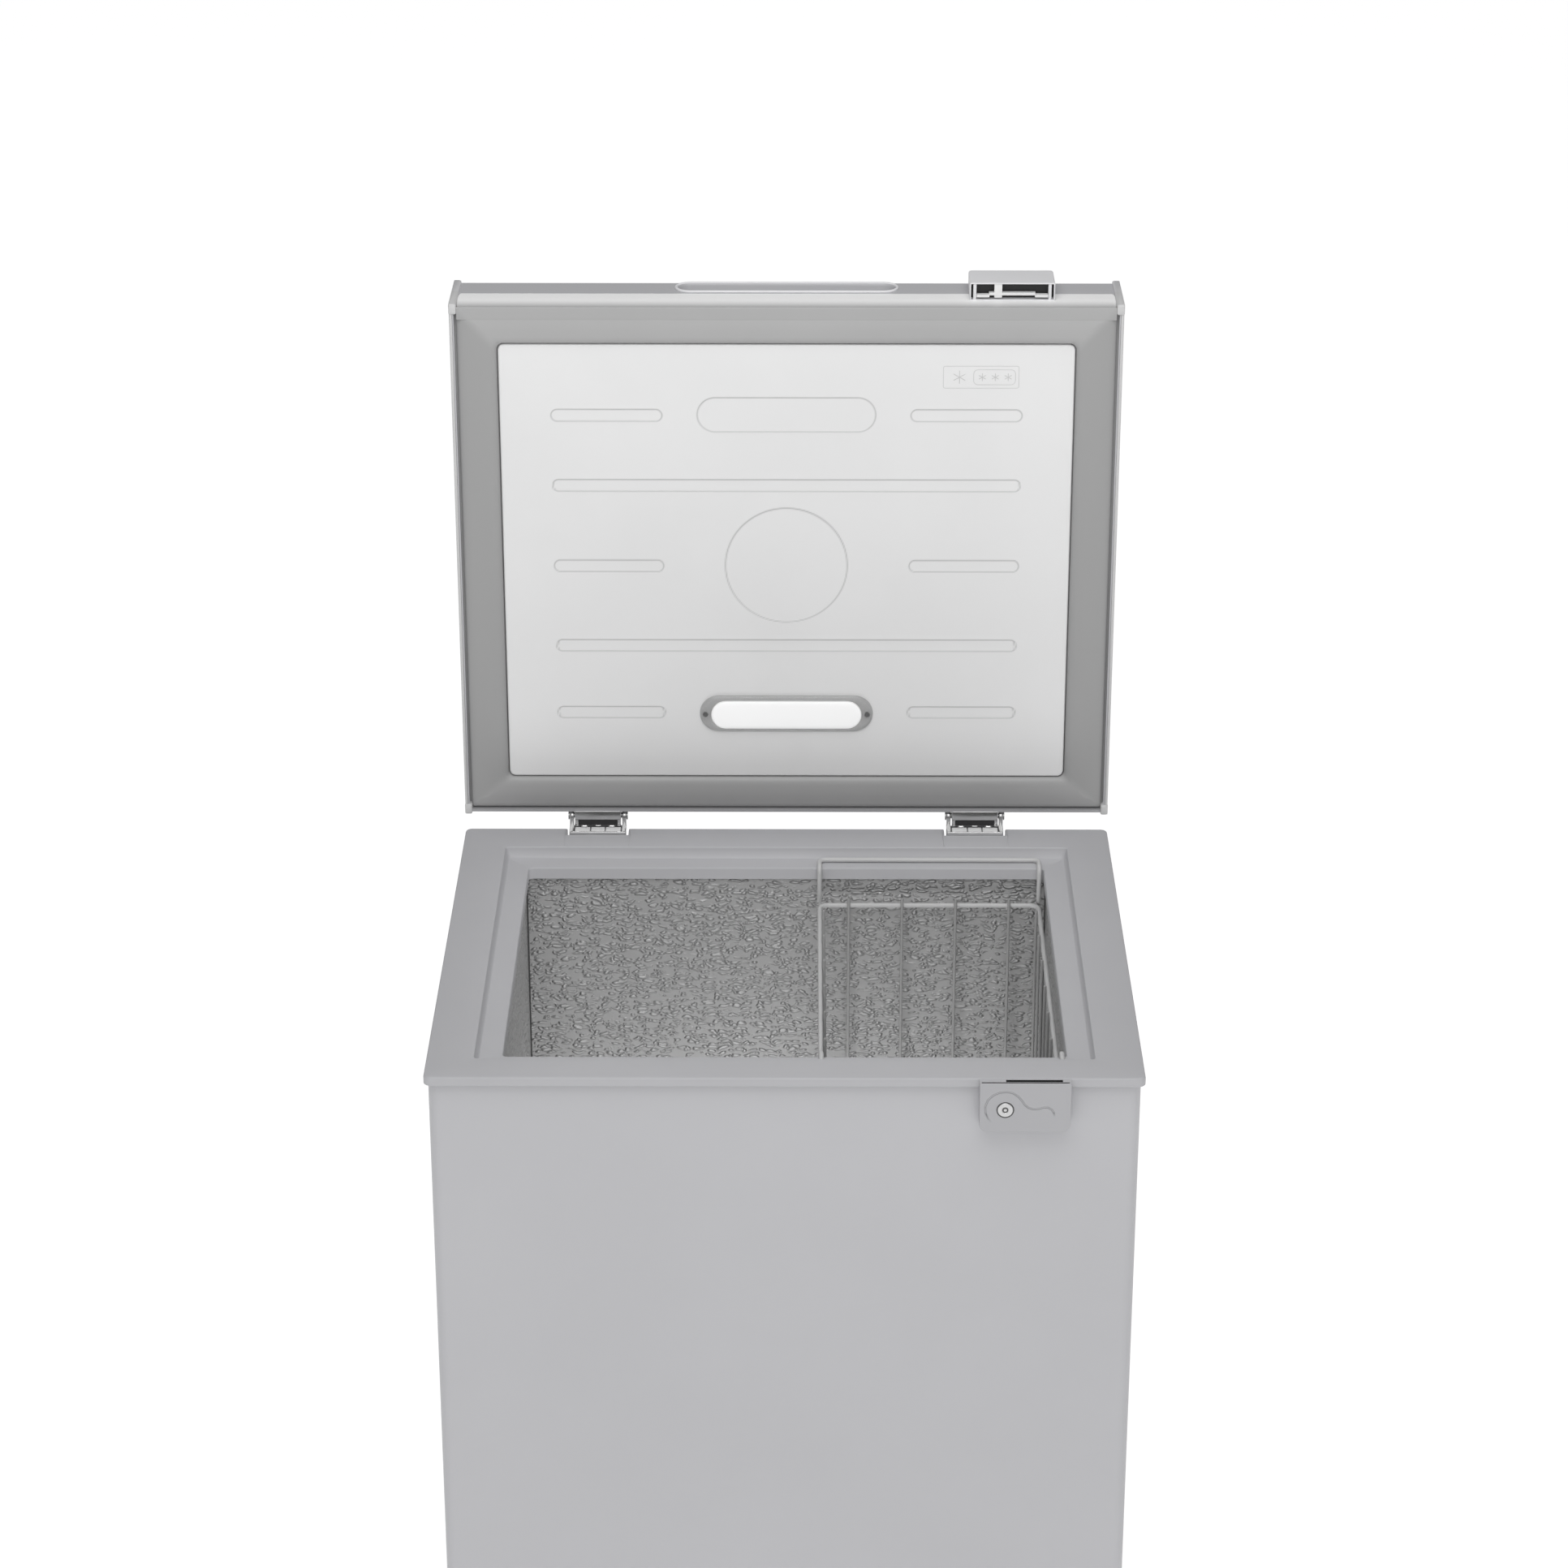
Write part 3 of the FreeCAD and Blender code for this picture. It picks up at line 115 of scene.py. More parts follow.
def from_shut_lid(points):
    """A point of the shut lid to where it stands when the lid is open: a quarter turn about the pin."""
    p = np.asarray(points, float)
    y = p[..., 2] - PIN[1] + PIN[0]
    z = PIN[0] - p[..., 1] + PIN[1]
    return to_floor(np.stack([p[..., 0], y, z], -1))


def smooth(t):
    """Rises from 0 to 1 as t does, level at both ends."""
    t = np.clip(t, 0, 1)
    return t * t * (3 - 2 * t)


def rectangle(x0, x1, y0, y1, corner, steps=6):
    """Points round a rectangle whose corners are quarter circles, anticlockwise."""
    turn = np.linspace(0, math.pi / 2, steps)
    quarters = np.arange(4)[:, None] * math.pi / 2 - math.pi / 2 + turn
    cx = np.array([x1 - corner, x1 - corner, x0 + corner, x0 + corner])[:, None]
    cy = np.array([y0 + corner, y1 - corner, y1 - corner, y0 + corner])[:, None]
    return np.stack([cx + corner * np.cos(quarters), cy + corner * np.sin(quarters)], -1).reshape(-1, 2)


def at_height(ring, z):
    """A flat ring of points lifted to one height."""
    return np.column_stack([ring, np.full(len(ring), z)])


def loft(rings, wrap=False):
    """A closed surface through rings that have equally many points.

    Vertex (i, j) is point j of ring i and four neighbours make a face. The last ring joins the
    first when wrap is set. Otherwise one face closes each end.
    """
    rings = np.asarray(rings, float)
    m, n, _ = rings.shape
    i = np.arange(m if wrap else m - 1)[:, None]
    j = np.arange(n)[None, :]
    after = (j + 1) % n
    above = (i + 1) % m
    quads = np.stack([i * n + j, i * n + after, above * n + after, above * n + j], -1).reshape(-1, 4)
    ends = [] if wrap else [list(range(n))[::-1], list(range((m - 1) * n, m * n))]
    return rings.reshape(-1, 3), quads, ends


def pillow(x0, x1, y0, y1, z0, z1, corner, edge, steps=5):
    """A block as rings over z: rounded rectangles that draw in along a quarter circle at both ends."""
    turn = np.linspace(0, math.pi / 2, steps)
    inset, rise = edge * (1 - np.sin(turn)), edge * (1 - np.cos(turn))
    levels = list(zip(z0 + rise, inset)) + list(zip(z1 - rise, inset))[::-1]
    return np.array([at_height(rectangle(x0 + i, x1 - i, y0 + i, y1 - i, max(corner - i, 0.05)), z)
                     for z, i in levels])


def tube(path, radius, closed=False, sides=14):
    """A round bar: circles across a path, carried along it without twist. Open ends are domes."""
    path = np.asarray(path, float)
    run = np.roll(path, -1, 0) - np.roll(path, 1, 0)
    if not closed:
        run[0], run[-1] = path[1] - path[0], path[-1] - path[-2]
    run /= np.linalg.norm(run, axis=1)[:, None]
    radii = np.full(len(path), float(radius))
    if not closed:
        turn = np.array([0.15, 0.55, 1.0]) * math.pi / 2
        small = radius * np.sin(turn)
        start = path[0] + run[0] * radius * (1 - np.cos(turn))[:, None]
        end = path[-1] - run[-1] * radius * (1 - np.cos(turn))[::-1][:, None]
        path = np.vstack([start, path[1:-1], end])
        radii = np.concatenate([small, radii[1:-1], small[::-1]])
        run = np.vstack([np.repeat(run[:1], 3, 0), run[1:-1], np.repeat(run[-1:], 3, 0)])
    side = np.cross(run[0], [0.3, 0.5, 0.8])
    sides_at = []
    for tangent in run:
        side = side - tangent * side.dot(tangent)
        side = side / np.linalg.norm(side)
        sides_at.append(side)
    across = np.array(sides_at)
    up = np.cross(run, across)
    angle = np.linspace(0, 2 * math.pi, sides, endpoint=False)[None, :, None]
    spokes = np.cos(angle) * across[:, None] + np.sin(angle) * up[:, None]
    rings = path[:, None] + radii[:, None, None] * spokes
    return loft(rings, wrap=closed)


def bent(points, bend, closed=False, steps=6):
    """Straight runs through the points, joined by arcs of one radius."""
    points = [np.asarray(p, float) for p in points]
    count = len(points)
    out = []
    for i, corner in enumerate(points):
        if not closed and i in (0, count - 1):
            out.append(corner)
            continue
        u = points[i - 1] - corner
        w = points[(i + 1) % count] - corner
        u, w = u / np.linalg.norm(u), w / np.linalg.norm(w)
        half = math.acos(np.clip(u.dot(w), -1, 1)) / 2
        centre = corner + (u + w) / np.linalg.norm(u + w) * bend / math.sin(half)
        start, end = corner + u * bend / math.tan(half), corner + w * bend / math.tan(half)
        for t in np.linspace(0, 1, steps):
            spoke = (start - centre) * (1 - t) + (end - centre) * t
            out.append(centre + spoke / np.linalg.norm(spoke) * bend)
    return np.array(out)


def lathe(profile, steps=48, ring=False):
    """A turned piece: (radius, height) pairs carried round the z axis. A ring has a closed profile."""
    angle = np.linspace(0, 2 * math.pi, steps, endpoint=False)
    return loft([np.column_stack([r * np.cos(angle), r * np.sin(angle), np.full(steps, h)])
                 for r, h in profile], wrap=ring)


def relief(us, vs, corners, height, depth):
    """A plate whose face is a height over a grid.

    Point (i, j) stands at (us[i], vs[j]); points beyond a rounded corner are drawn in to its arc.
    corners are the radii at the low and high ends of v. height gives the face and the strength of
    its darker lines (painted shade along the inner panel's beads) from u, v and the distance to the plate's
    outline; depth is its back.
    """
    u, v = np.meshgrid(us, vs, indexing="ij")
    corner = np.where(v < (vs[0] + vs[-1]) / 2, *corners)
    cu = np.clip(u, us[0] + corner, us[-1] - corner)
    cv = np.clip(v, vs[0] + corner, vs[-1] - corner)
    du, dv = u - cu, v - cv
    reach = np.hypot(du, dv)
    longest = np.maximum(np.abs(du), np.abs(dv))
    shrink = np.where(reach > 0, longest / np.maximum(reach, 1e-9), 1.0)
    u, v = cu + du * shrink, cv + dv * shrink
    margin = np.where((du != 0) & (dv != 0), corner - longest,
                      np.minimum.reduce([u - us[0], us[-1] - u, v - vs[0], vs[-1] - v]))
    heights, line = height(u, v, margin)
    face = np.stack([u, v, heights], -1)
    m, n = u.shape
    index = np.arange(m * n).reshape(m, n)
    quads = np.stack([index[:-1, :-1], index[1:, :-1], index[1:, 1:], index[:-1, 1:]], -1).reshape(-1, 4)
    rim = np.concatenate([index[:-1, 0], index[-1, :-1], index[:0:-1, -1], index[0, :0:-1]])
    count = len(rim)
    back = face.reshape(-1, 3)[rim] * [1, 1, 0] + [0, 0, depth]
    k = np.arange(count)
    after = (k + 1) % count
    walls = np.stack([rim[after], rim[k], m * n + k, m * n + after], -1)
    ends = [list(range(m * n, m * n + count))]
    return np.vstack([face.reshape(-1, 3), back]), np.vstack([quads, walls]), ends, line.ravel()


def lines(start, end, step, fine=()):
    """Grid lines from start to end: a regular step, and closer ones over each (from, to, step)."""
    marks = list(np.linspace(start, end, int((end - start) / step) + 1))
    for a, b, s in fine:
        marks = [m for m in marks if not a - s < m < b + s]
        marks += list(np.linspace(a, b, int(round((b - a) / s)) + 1))
    marks = np.unique(np.round([start] + marks + [end], 4))
    return marks[(marks >= start) & (marks <= end)]


def edge_drop(margin, radius):
    """How far a quarter-round edge falls at a distance from the outline: radius at it, 0 beyond radius."""
    inward = radius - np.clip(margin, 0, radius)
    return radius - np.sqrt(np.maximum(radius ** 2 - inward ** 2, 0))


def capsule(u, v, box):
    """Signed distance to a shape with round ends, long in u: negative inside."""
    u0, u1, v0, v1 = box
    r = (v1 - v0) / 2
    return np.hypot(u - np.clip(u, u0 + r, u1 - r), v - (v0 + v1) / 2) - r


def volume(points, quads, ends):
    """Six times the volume inside the faces: positive when they face outwards."""
    triangles = [quads[:, [0, 1, 2]], quads[:, [0, 2, 3]]]
    for end in ends:
        end = np.array(end)
        fan = np.column_stack([np.full(len(end) - 2, end[0]), end[1:-1], end[2:]])
        triangles.append(fan)
    a, b, c = points[np.vstack(triangles)].transpose(1, 0, 2)
    return np.einsum("ij,ij->", a, np.cross(b, c))


def build(name, shells, material, body, replaces=(), place=to_floor, sharp=SHARP):
    """One object from closed shells, placed in the floor frame, facing outwards."""
    points, faces, drawn, start = [], [], [], 0
    for shell in shells:
        corners, quads, ends = shell[:3]
        line = shell[3] if len(shell) > 3 else []
        drawn.append(np.concatenate([line, np.zeros(len(corners) - len(line))]))
        corners = place(corners)
        if volume(corners - corners.mean(0), quads, ends) < 0:
            quads = quads[:, ::-1]
            ends = [end[::-1] for end in ends]
        points.append(corners)
        faces += (quads + start).tolist() + [[k + start for k in end] for end in ends]
        start += len(corners)
    mesh = bpy.data.meshes.new(name)
    mesh.from_pydata(np.vstack(points), [], faces)
    mesh.polygons.foreach_set("use_smooth", np.ones(len(mesh.polygons), bool))
    mesh.set_sharp_from_angle(angle=sharp)
    if np.any(np.concatenate(drawn)):
        attribute = mesh.attributes.new("line", "FLOAT", "POINT")
        attribute.data.foreach_set("value", np.concatenate(drawn).astype(np.float32))
    mesh.materials.append(material)
    piece = bpy.data.objects.new(name, mesh)
    bpy.context.scene.collection.objects.link(piece)
    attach(piece, body)
    if replaces:
        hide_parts(*replaces)
    return piece


# ---------------------------------------------------------------- shaders

class Value:
    """A shader socket that can be used in arithmetic; each step adds a Math node."""

    def __init__(self, shader, socket):
        self.shader = shader
        self.socket = socket

    def step(self, operation, first, second=0.0):
        """One Math node, or Vector Math where the value is a colour or a vector."""
        if self.socket.type in ("VECTOR", "RGBA"):
            kind = "ShaderNodeVectorMath"
            first, second = [v if isinstance(v, (Value, tuple)) else (v,) * 3 for v in (first, second)]
        else:
            kind = "ShaderNodeMath"
        return self.shader.node(kind, {"operation": operation}, {0: first, 1: second})

    def __add__(self, other):
        return self.step("ADD", self, other)

    def __radd__(self, other):
        return self.step("ADD", other, self)

    def __sub__(self, other):
        return self.step("SUBTRACT", self, other)

    def __rsub__(self, other):
        return self.step("SUBTRACT", other, self)

    def __mul__(self, other):
        return self.step("MULTIPLY", self, other)

    def __rmul__(self, other):
        return self.step("MULTIPLY", other, self)

    def __abs__(self):
        return self.step("ABSOLUTE", self)

    def between(self, low, high):
        """0 below low, 1 above high, smooth between."""
        return self.shader.node("ShaderNodeMapRange", {"interpolation_type": "SMOOTHSTEP"},
                                {0: self, 1: low, 2: high})


class Shader:
    """The node tree of one material."""

    def __init__(self, name):
        self.material = bpy.data.materials.new(name)
        self.material.use_nodes = True
        self.tree = self.material.node_tree
        self.surface = self.tree.nodes["Principled BSDF"]
        self.where = self.node("ShaderNodeTexCoord", out="Object")
        parts = self.node("ShaderNodeSeparateXYZ", {}, {0: self.where}).socket.node.outputs
        self.x, self.y, self.z = [Value(self, part) for part in parts]

    def node(self, kind, settings=None, inputs=None, out=0):
        """Adds a node: its settings, its sockets' values or links, and which output to use."""
        node = self.tree.nodes.new(kind)
        for key, value in (settings or {}).items():
            setattr(node, key, value)
        for key, value in (inputs or {}).items():
            if isinstance(value, Value):
                self.tree.links.new(value.socket, node.inputs[key])
            else:
                node.inputs[key].default_value = value
        return Value(self, node.outputs[out])

    def noise(self, scale, detail=3.0, distortion=0.0, where=None, roughness=0.5):
        """Soft noise over the piece's own coordinates."""
        return self.node("ShaderNodeTexNoise", {}, {
            "Vector": self.where if where is None else where, "Scale": scale, "Detail": detail,
            "Distortion": distortion, "Roughness": roughness})

    def mix(self, amount, first, second):
        """A colour between two."""
        first, second = [c if isinstance(c, Value) else (*c[:3], 1.0) for c in (first, second)]
        return self.node("ShaderNodeMix", {"data_type": "RGBA"}, {0: amount, 6: first, 7: second}, 2)

    def shade(self, base, spread, scale=6.0):
        """A colour that drifts a little lighter and darker over the piece."""
        low = tuple(c * (1 - spread) for c in base)
        high = tuple(min(c * (1 + spread), 1.0) for c in base)
        return self.mix(self.noise(scale).between(0.3, 0.7), low, high)

    def done(self, colour, roughness, bump=None, rise=0.0002, strength=0.3, **constants):
        """Feeds the surface. Constants are set on its sockets by name."""
        links = {"Base Color": colour, "Roughness": roughness}
        if bump is not None:
            links["Normal"] = self.node("ShaderNodeBump", {}, {
                "Height": bump, "Strength": strength, "Distance": rise})
        for key, value in links.items():
            if isinstance(value, Value):
                self.tree.links.new(value.socket, self.surface.inputs[key])
            else:
                self.surface.inputs[key].default_value = value
        for key, value in constants.items():
            self.surface.inputs[key.replace("_", " ")].default_value = value
        return self.material


def painted(name, base, roughness=0.42):
    """Smooth paint on steel with a faint orange peel."""
    s = Shader(name)
    peel = s.noise(900.0, 2.0)
    rough = roughness + (s.noise(25.0) - 0.5) * 0.08
    return s.done(s.shade(base, 0.012), rough, peel, 0.00002, 0.25, Specular_IOR_Level=0.45)


def moulded(name, base, roughness=0.45, line=None):
    """Moulded plastic with a fine grain, in the line colour where the line attribute is high."""
    s = Shader(name)
    colour = s.shade(base, 0.012, 9.0)
    if line:
        along = s.node("ShaderNodeAttribute", {"attribute_name": "line"}, out=2)
        colour = s.mix(along, colour, line)
    rough = roughness + (s.noise(40.0) - 0.5) * 0.1
    return s.done(colour, rough, s.noise(1600.0, 1.0), 0.00003, 0.3)


def embossed(name, base):
    """Aluminium sheet rolled with short worm-like ridges that lie mostly level."""
    s = Shader(name)
    warp = s.node("ShaderNodeTexNoise", {}, {"Vector": s.where, "Scale": 85.0, "Detail": 1.0}, 1)
    bent_where = s.where * (1.0, 1.0, 2.3) + warp * 0.016
    cells = s.node("ShaderNodeTexVoronoi", {}, {"Vector": bent_where, "Scale": 138.0})
    height = cells.between(0.6, 0.2)
    # Painted highlight and shade: the ridges are lighter and the hollows darker than the base colour
    colour = s.mix(height * 0.6, tuple(c * 0.84 for c in base), tuple(min(1.0, c * 1.3) for c in base))
    rough = 0.42 - height * 0.1
    return s.done(colour, rough, height, 0.0042, 1.0, Metallic=0.3)


def metal(name, base, roughness=0.25, brushed=(1.0, 1.0, 1.0)):
    """Bare or plated metal with faint brushing."""
    s = Shader(name)
    brush = s.noise(700.0, 2.0, 0.0, s.where * brushed)
    rough = roughness + (brush - 0.5) * 0.18
    return s.done(s.shade(base, 0.05, 60.0), rough, brush, 0.00001, 0.3, Metallic=1.0)


def seal_rubber(name, base):
    """Soft seal whose two side runs are darkened as painted shade, with a mitre at each corner where the four
    runs meet.
    """
    s = Shader(name)
    low, high = [(-y + PIN[0] + PIN[1] + TO_FLOOR[2]) / 1000 for y in (SEAL[3], SEAL[2])]
    level = s.node("ShaderNodeMath", {"operation": "MINIMUM"}, {0: high - s.z, 1: s.z - low})
    # Painted shade: the two side runs are darkened to 0.87 of the seal's colour
    side = (level - (SEAL[1] / 1000 - abs(s.x))).between(-0.006, 0.006)
    colour = s.mix(side, s.shade(base, 0.012, 12.0), tuple(c * 0.87 for c in base))
    rough = 0.6 + (s.noise(30.0) - 0.5) * 0.12
    return s.done(colour, rough, s.noise(500.0, 2.0), 0.00004, 0.3)


def soft_rubber(name, base, roughness=0.6):
    """Dull rubber with a fine grain."""
    s = Shader(name)
    rough = roughness + (s.noise(30.0) - 0.5) * 0.12
    return s.done(s.shade(base, 0.015, 12.0), rough, s.noise(500.0, 2.0), 0.00004, 0.3)


def foam(name, base):
    """Rigid foam with open cells."""
    s = Shader(name)
    cells = s.node("ShaderNodeTexVoronoi", {}, {"Vector": s.where, "Scale": 420.0})
    return s.done(s.shade(base, 0.08, 30.0), 0.9, cells, 0.0006, 0.6)


def strip_plastic(name, light, dark, front, edge):
    """Light plastic, darker towards its front as painted shade standing in for the fall-off of a glossy
    highlight, and turning to the lid's colour behind a line.
    """
    s = Shader(name)
    # Painted shade towards the front edge, where a glossy highlight would fade
    shaded_front = tuple(c * 0.35 for c in light)
    colour = s.mix(s.y.between(front, front + 0.019), shaded_front, light)
    colour = s.mix(s.y.between(edge - 0.0003, edge + 0.0003), colour, dark)
    rough = 0.38 + (s.noise(40.0) - 0.5) * 0.08
    return s.done(colour, rough, s.noise(1500.0, 1.0), 0.00002, 0.3)


def clear_plastic(name):
    """Clear moulding with faint ripples."""
    s = Shader(name)
    rough = 0.12 + s.noise(120.0) * 0.12
    return s.done(s.shade(grey(225), 0.01), rough, s.noise(260.0, 2.0), 0.0002, 0.3,
                  Transmission_Weight=0.75, IOR=1.49)


def glowing(name, base, light, strength):
    """A diffuser lit from behind, a little brighter in soft patches."""
    s = Shader(name)
    glow = s.mix(s.noise(12.0).between(0.2, 0.8), tuple(c * 0.97 for c in light), light)
    s.tree.links.new(glow.socket, s.surface.inputs["Emission Color"])
    return s.done(s.shade(base, 0.01), 0.5, s.noise(900.0, 1.0), 0.00002, 0.2,
                  Emission_Strength=strength)


def board_green(name):
    """Circuit board: green with a pale grid of traces."""
    s = Shader(name)
    traces = s.node("ShaderNodeTexBrick", {}, {
        "Vector": s.where, "Scale": 90.0, "Color1": (0.02, 0.16, 0.06, 1.0),
        "Color2": (0.03, 0.22, 0.09, 1.0), "Mortar": (0.25, 0.35, 0.12, 1.0)})
    return s.done(traces, 0.4, s.noise(800.0), 0.00002, 0.3)


def finishes(colours):
    """Every material, by the name of the record's slot that it belongs to."""
    steel = grey(170)
    return {
        "painted_silver": painted("painted silver", tuple(colours.paint)),
        "lid_paint": painted("lid paint", tuple(colours.lid_paint)),
        "galvanised_steel": metal("galvanised steel", grey(150), 0.45),
        "embossed_aluminium": embossed("embossed aluminium", tuple(colours.aluminium)),
        "collar_plastic": moulded("collar plastic", tuple(colours.collar)),
        "insulation": foam("insulation", (0.75, 0.6, 0.35)),
        "cooling_tube": metal("cooling tube", grey(165), 0.35),
        "steel_tube": metal("steel tube", (0.12, 0.12, 0.125), 0.4),
        "copper": metal("copper", (0.72, 0.33, 0.2), 0.3),
        "black_enamel": painted("black enamel", (0.012, 0.012, 0.013), 0.3),
        "black_plastic": moulded("black plastic", (0.02, 0.02, 0.021), 0.5),
        "rubber": soft_rubber("rubber", (0.018, 0.018, 0.018), 0.75),
        "zinc_screw": metal("zinc screw", steel, 0.3),
        "barrel_face": metal("barrel face", grey(215), 0.4),
        "hinge_chrome": metal("hinge chrome", tuple(colours.chrome), 0.18, (1.0, 0.05, 0.05)),
        "light_grey_plastic": moulded("light grey plastic", grey(230, 2)),
        "shadow_grey": moulded("rear strip", grey(168, 2)),
        "panel_white": moulded("panel white", tuple(colours.panel), 0.4),
        # The inner panel, darkened along its bead walls as painted shade
        "panel_lined": moulded("panel with painted bead shade", tuple(colours.panel), 0.45,
                                tuple(c * 0.66 for c in colours.panel)),
        "plate_lined": moulded("lined plate", tuple(c * 0.92 for c in colours.collar), 0.45, grey(96, 2)),
        "mark_grey": moulded("rating marks", grey(205)),
        "ring_grey": moulded("dark rings", grey(72)),
        "control_grey": moulded("control grey", grey(120, 2)),
        "knob_white": moulded("knob white", grey(238)),
        "drain_white": moulded("drain white", grey(225)),
        "gasket_grey": seal_rubber("gasket grey", tuple(colours.seal)),
        "lamp_clear": clear_plastic("lamp clear"),
        "lens_white": glowing("lens white", grey(225), (1.0, 1.0, 1.0), 0.32),
        "circuit_board": board_green("circuit board"),
        "pilot_lens": glowing("pilot lens", (0.05, 0.4, 0.08), (0.1, 0.9, 0.2), 0.4),
        "wire_coating": moulded("wire coating", grey(200), 0.35),
        # A darker copy of the wire coating: painted shade for the wires down in the tub
        "wire_coating_shaded": moulded("wire coating in painted shade", grey(160), 0.4),
    }


# ---------------------------------------------------------------- pieces

def millimetres(sizes):
    """The panel's sizes as plain numbers in millimetres."""
    names = FreezerSizes.__annotations__
    return SimpleNamespace(**{name: getattr(sizes, name) * 1000 for name in names})


OPENING = (-236.0, 236.0, 32.0, 412.0)
THROAT = (-215.8, 215.8, 52.0, 390.0)
HINGE_X = 160.0
NOTCH = (26.0, 437.4)            # half width, and the y that it is cut back to


def collar_rings(s):
    """Rounded rectangles from the skirt's foot over the top, down the two steps and back beneath.

    Each row of the profile is (outline, inset, height, corner radius). The outlines' back edges
    carry four points per hinge that are pushed forward where the outline would cross a notch.
    """
    rim = (-s.half_width, s.half_width, 0.0, s.depth)
    turn = np.linspace(0, math.pi / 2, 5)
    over = [(1.8 * (1 - math.cos(t)), -1.8 * (1 - math.sin(t))) for t in turn]
    fall = [(-1.3 * (1 - math.sin(t)), -1.3 * (1 - math.cos(t))) for t in turn]
    profile = [(rim, s.wall, 0.7 - s.skirt, 3.0), (rim, 1.8, -s.skirt, 4.0),
               (rim, 0.7, -s.skirt, 5.0), (rim, 0.0, 0.7 - s.skirt, 5.5)]
    profile += [(rim, i, z, 5.5 - i) for i, z in over]
    profile += [(OPENING, i, z, 3.0) for i, z in fall]
    profile += [(OPENING, 2.0, 0.8 - s.ledge, 3.0), (OPENING, 3.0, -s.ledge, 2.4)]
    profile += [(THROAT, i, z - s.ledge, 4.0) for i, z in fall]
    profile += [(THROAT, 0.0, 0.6 - s.lip, 4.0), (THROAT, -0.7, -s.lip, 4.0),
                (THROAT, -1.8, -s.lip, 4.5), (THROAT, -s.wall, 0.6 - s.lip, 5.0),
                (THROAT, -s.wall, -s.ledge - s.wall, 5.0), (OPENING, -s.wall, -s.ledge - s.wall, 4.0),
                (OPENING, -s.wall, -s.wall, 4.0), (rim, s.wall, -s.wall, 3.0)]
    half, cut = NOTCH
    rings = []
    for (x0, x1, y0, y1), inset, z, corner in profile:
        ring = at_height(rectangle(x0 + inset, x1 - inset, y0 + inset, y1 - inset, corner), z)
        back = y1 - inset
        notch = min(back, cut - inset)
        foot = z if notch == back else max(z, -s.wall + 0.02 * (z + s.skirt))
        run = inset if notch < back else 1.0
        stops = []
        for centre in (HINGE_X, -HINGE_X):
            stops += [(centre + half + run, back, z), (centre + half + run - 0.1, notch, foot),
                      (centre - half - run + 0.1, notch, foot), (centre - half - run, back, z)]
        rings.append(np.vstack([ring[:12], stops, ring[12:]]))
    return rings


SEAL = (-268.0, 268.0, 3.5, 445.5)
# The seal's front lip under the strip, in y and z of the shut lid
SEAL_LIP = [(1.8, 3.1), (2.1, 2.85), (3.2, 2.75), (12.4, 2.65), (12.4, 3.6), (4.0, 4.9), (3.5, 4.9)]
PANEL = (-233.7, 233.7, 33.4, 414.9)
PANEL_FACE = 3.5


def seal_rings():
    """The seal as rings in the shut lid: from its outer edge, over a soft shoulder, to the panel."""
    profile = [(SEAL, 1.2, 8.0, 2.0), (SEAL, 1.2, 6.6, 2.0), (SEAL, 1.7, 5.6, 2.0),
               (SEAL, 3.0, 4.6, 2.0), (SEAL, 5.5, 3.6, 2.0), (SEAL, 9.0, 2.7, 1.5),
               (PANEL, -19.0, 1.7, 1.2), (PANEL, -13.0, 0.9, 1.5), (PANEL, -7.0, 0.5, 2.5),
               (PANEL, -4.0, 0.8, 3.5), (PANEL, -2.4, 1.7, 4.4), (PANEL, -1.3, 3.2, 5.2),
               (PANEL, -0.8, 5.2, 5.6), (PANEL, -0.8, 8.0, 5.6)]
    return [at_height(rectangle(x0 + i, x1 - i, y0 + i, y1 - i, corner), z)
            for (x0, x1, y0, y1), i, z, corner in profile]


BEADS = [(side[0], side[1], y, y + 10.2) for side in ((-191.8, -101.4), (101.4, 191.8))
         for y in (88.7, 219.8, 351.3)]
BEADS += [(-191.8, 191.8, 149.3, 159.5), (-191.5, 191.5, 290.8, 301.0), (-72.7, 72.7, 78.6, 107.9)]
CIRCLE = (0.0, 224.4, 50.3)
BEAD_DEPTH = 0.5
BEAD_WALL = 1.3
PANEL_EDGE = 1.6


def panel_face(u, v, margin):
    """Height of the inner panel: sunk beads with a rounded wall, and a rounded outer edge."""
    x, y, r = CIRCLE
    near = np.hypot(u - x, v - y) - r
    for bead in BEADS:
        near = np.minimum(near, capsule(u, v, bead))
    sunk = smooth(0.5 - near / BEAD_WALL) * BEAD_DEPTH
    lip = np.exp(-((near - 0.7 * BEAD_WALL) / 1.2) ** 2) * 0.08
    # The line darkens the panel along each bead's wall: painted shade in the grooves
    line = smooth(1 - np.abs(near) / (0.75 * BEAD_WALL))
    return PANEL_FACE + sunk - lip + edge_drop(margin, PANEL_EDGE), line


def panel_lines():
    """Grid lines for the panel, closer where a bead's outline runs."""
    x0, x1, y0, y1 = PANEL
    edge = 1.8
    ys = [(y - 1.4, y + 1.4, 0.4) for bead in BEADS for y in bead[2:]]
    ys = sorted(set(ys)) + [(77.2, 109.2, 0.6), (173.0, 276.0, 1.0), (y0, y0 + edge, 0.3),
                            (y1 - edge, y1, 0.3)]
    xs = [(-75.0, -56.0, 0.7), (-51.5, 51.5, 1.0), (56.0, 75.0, 0.7), (x0, x0 + edge, 0.3),
          (x1 - edge, x1, 0.3)]
    xs += [(side * x - 3.2, side * x + 3.2, 0.6) for side in (-1, 1) for x in (103.5, 189.5)]
    return lines(x0, x1, 4.5, xs), lines(y0, y1, 4.5, ys)


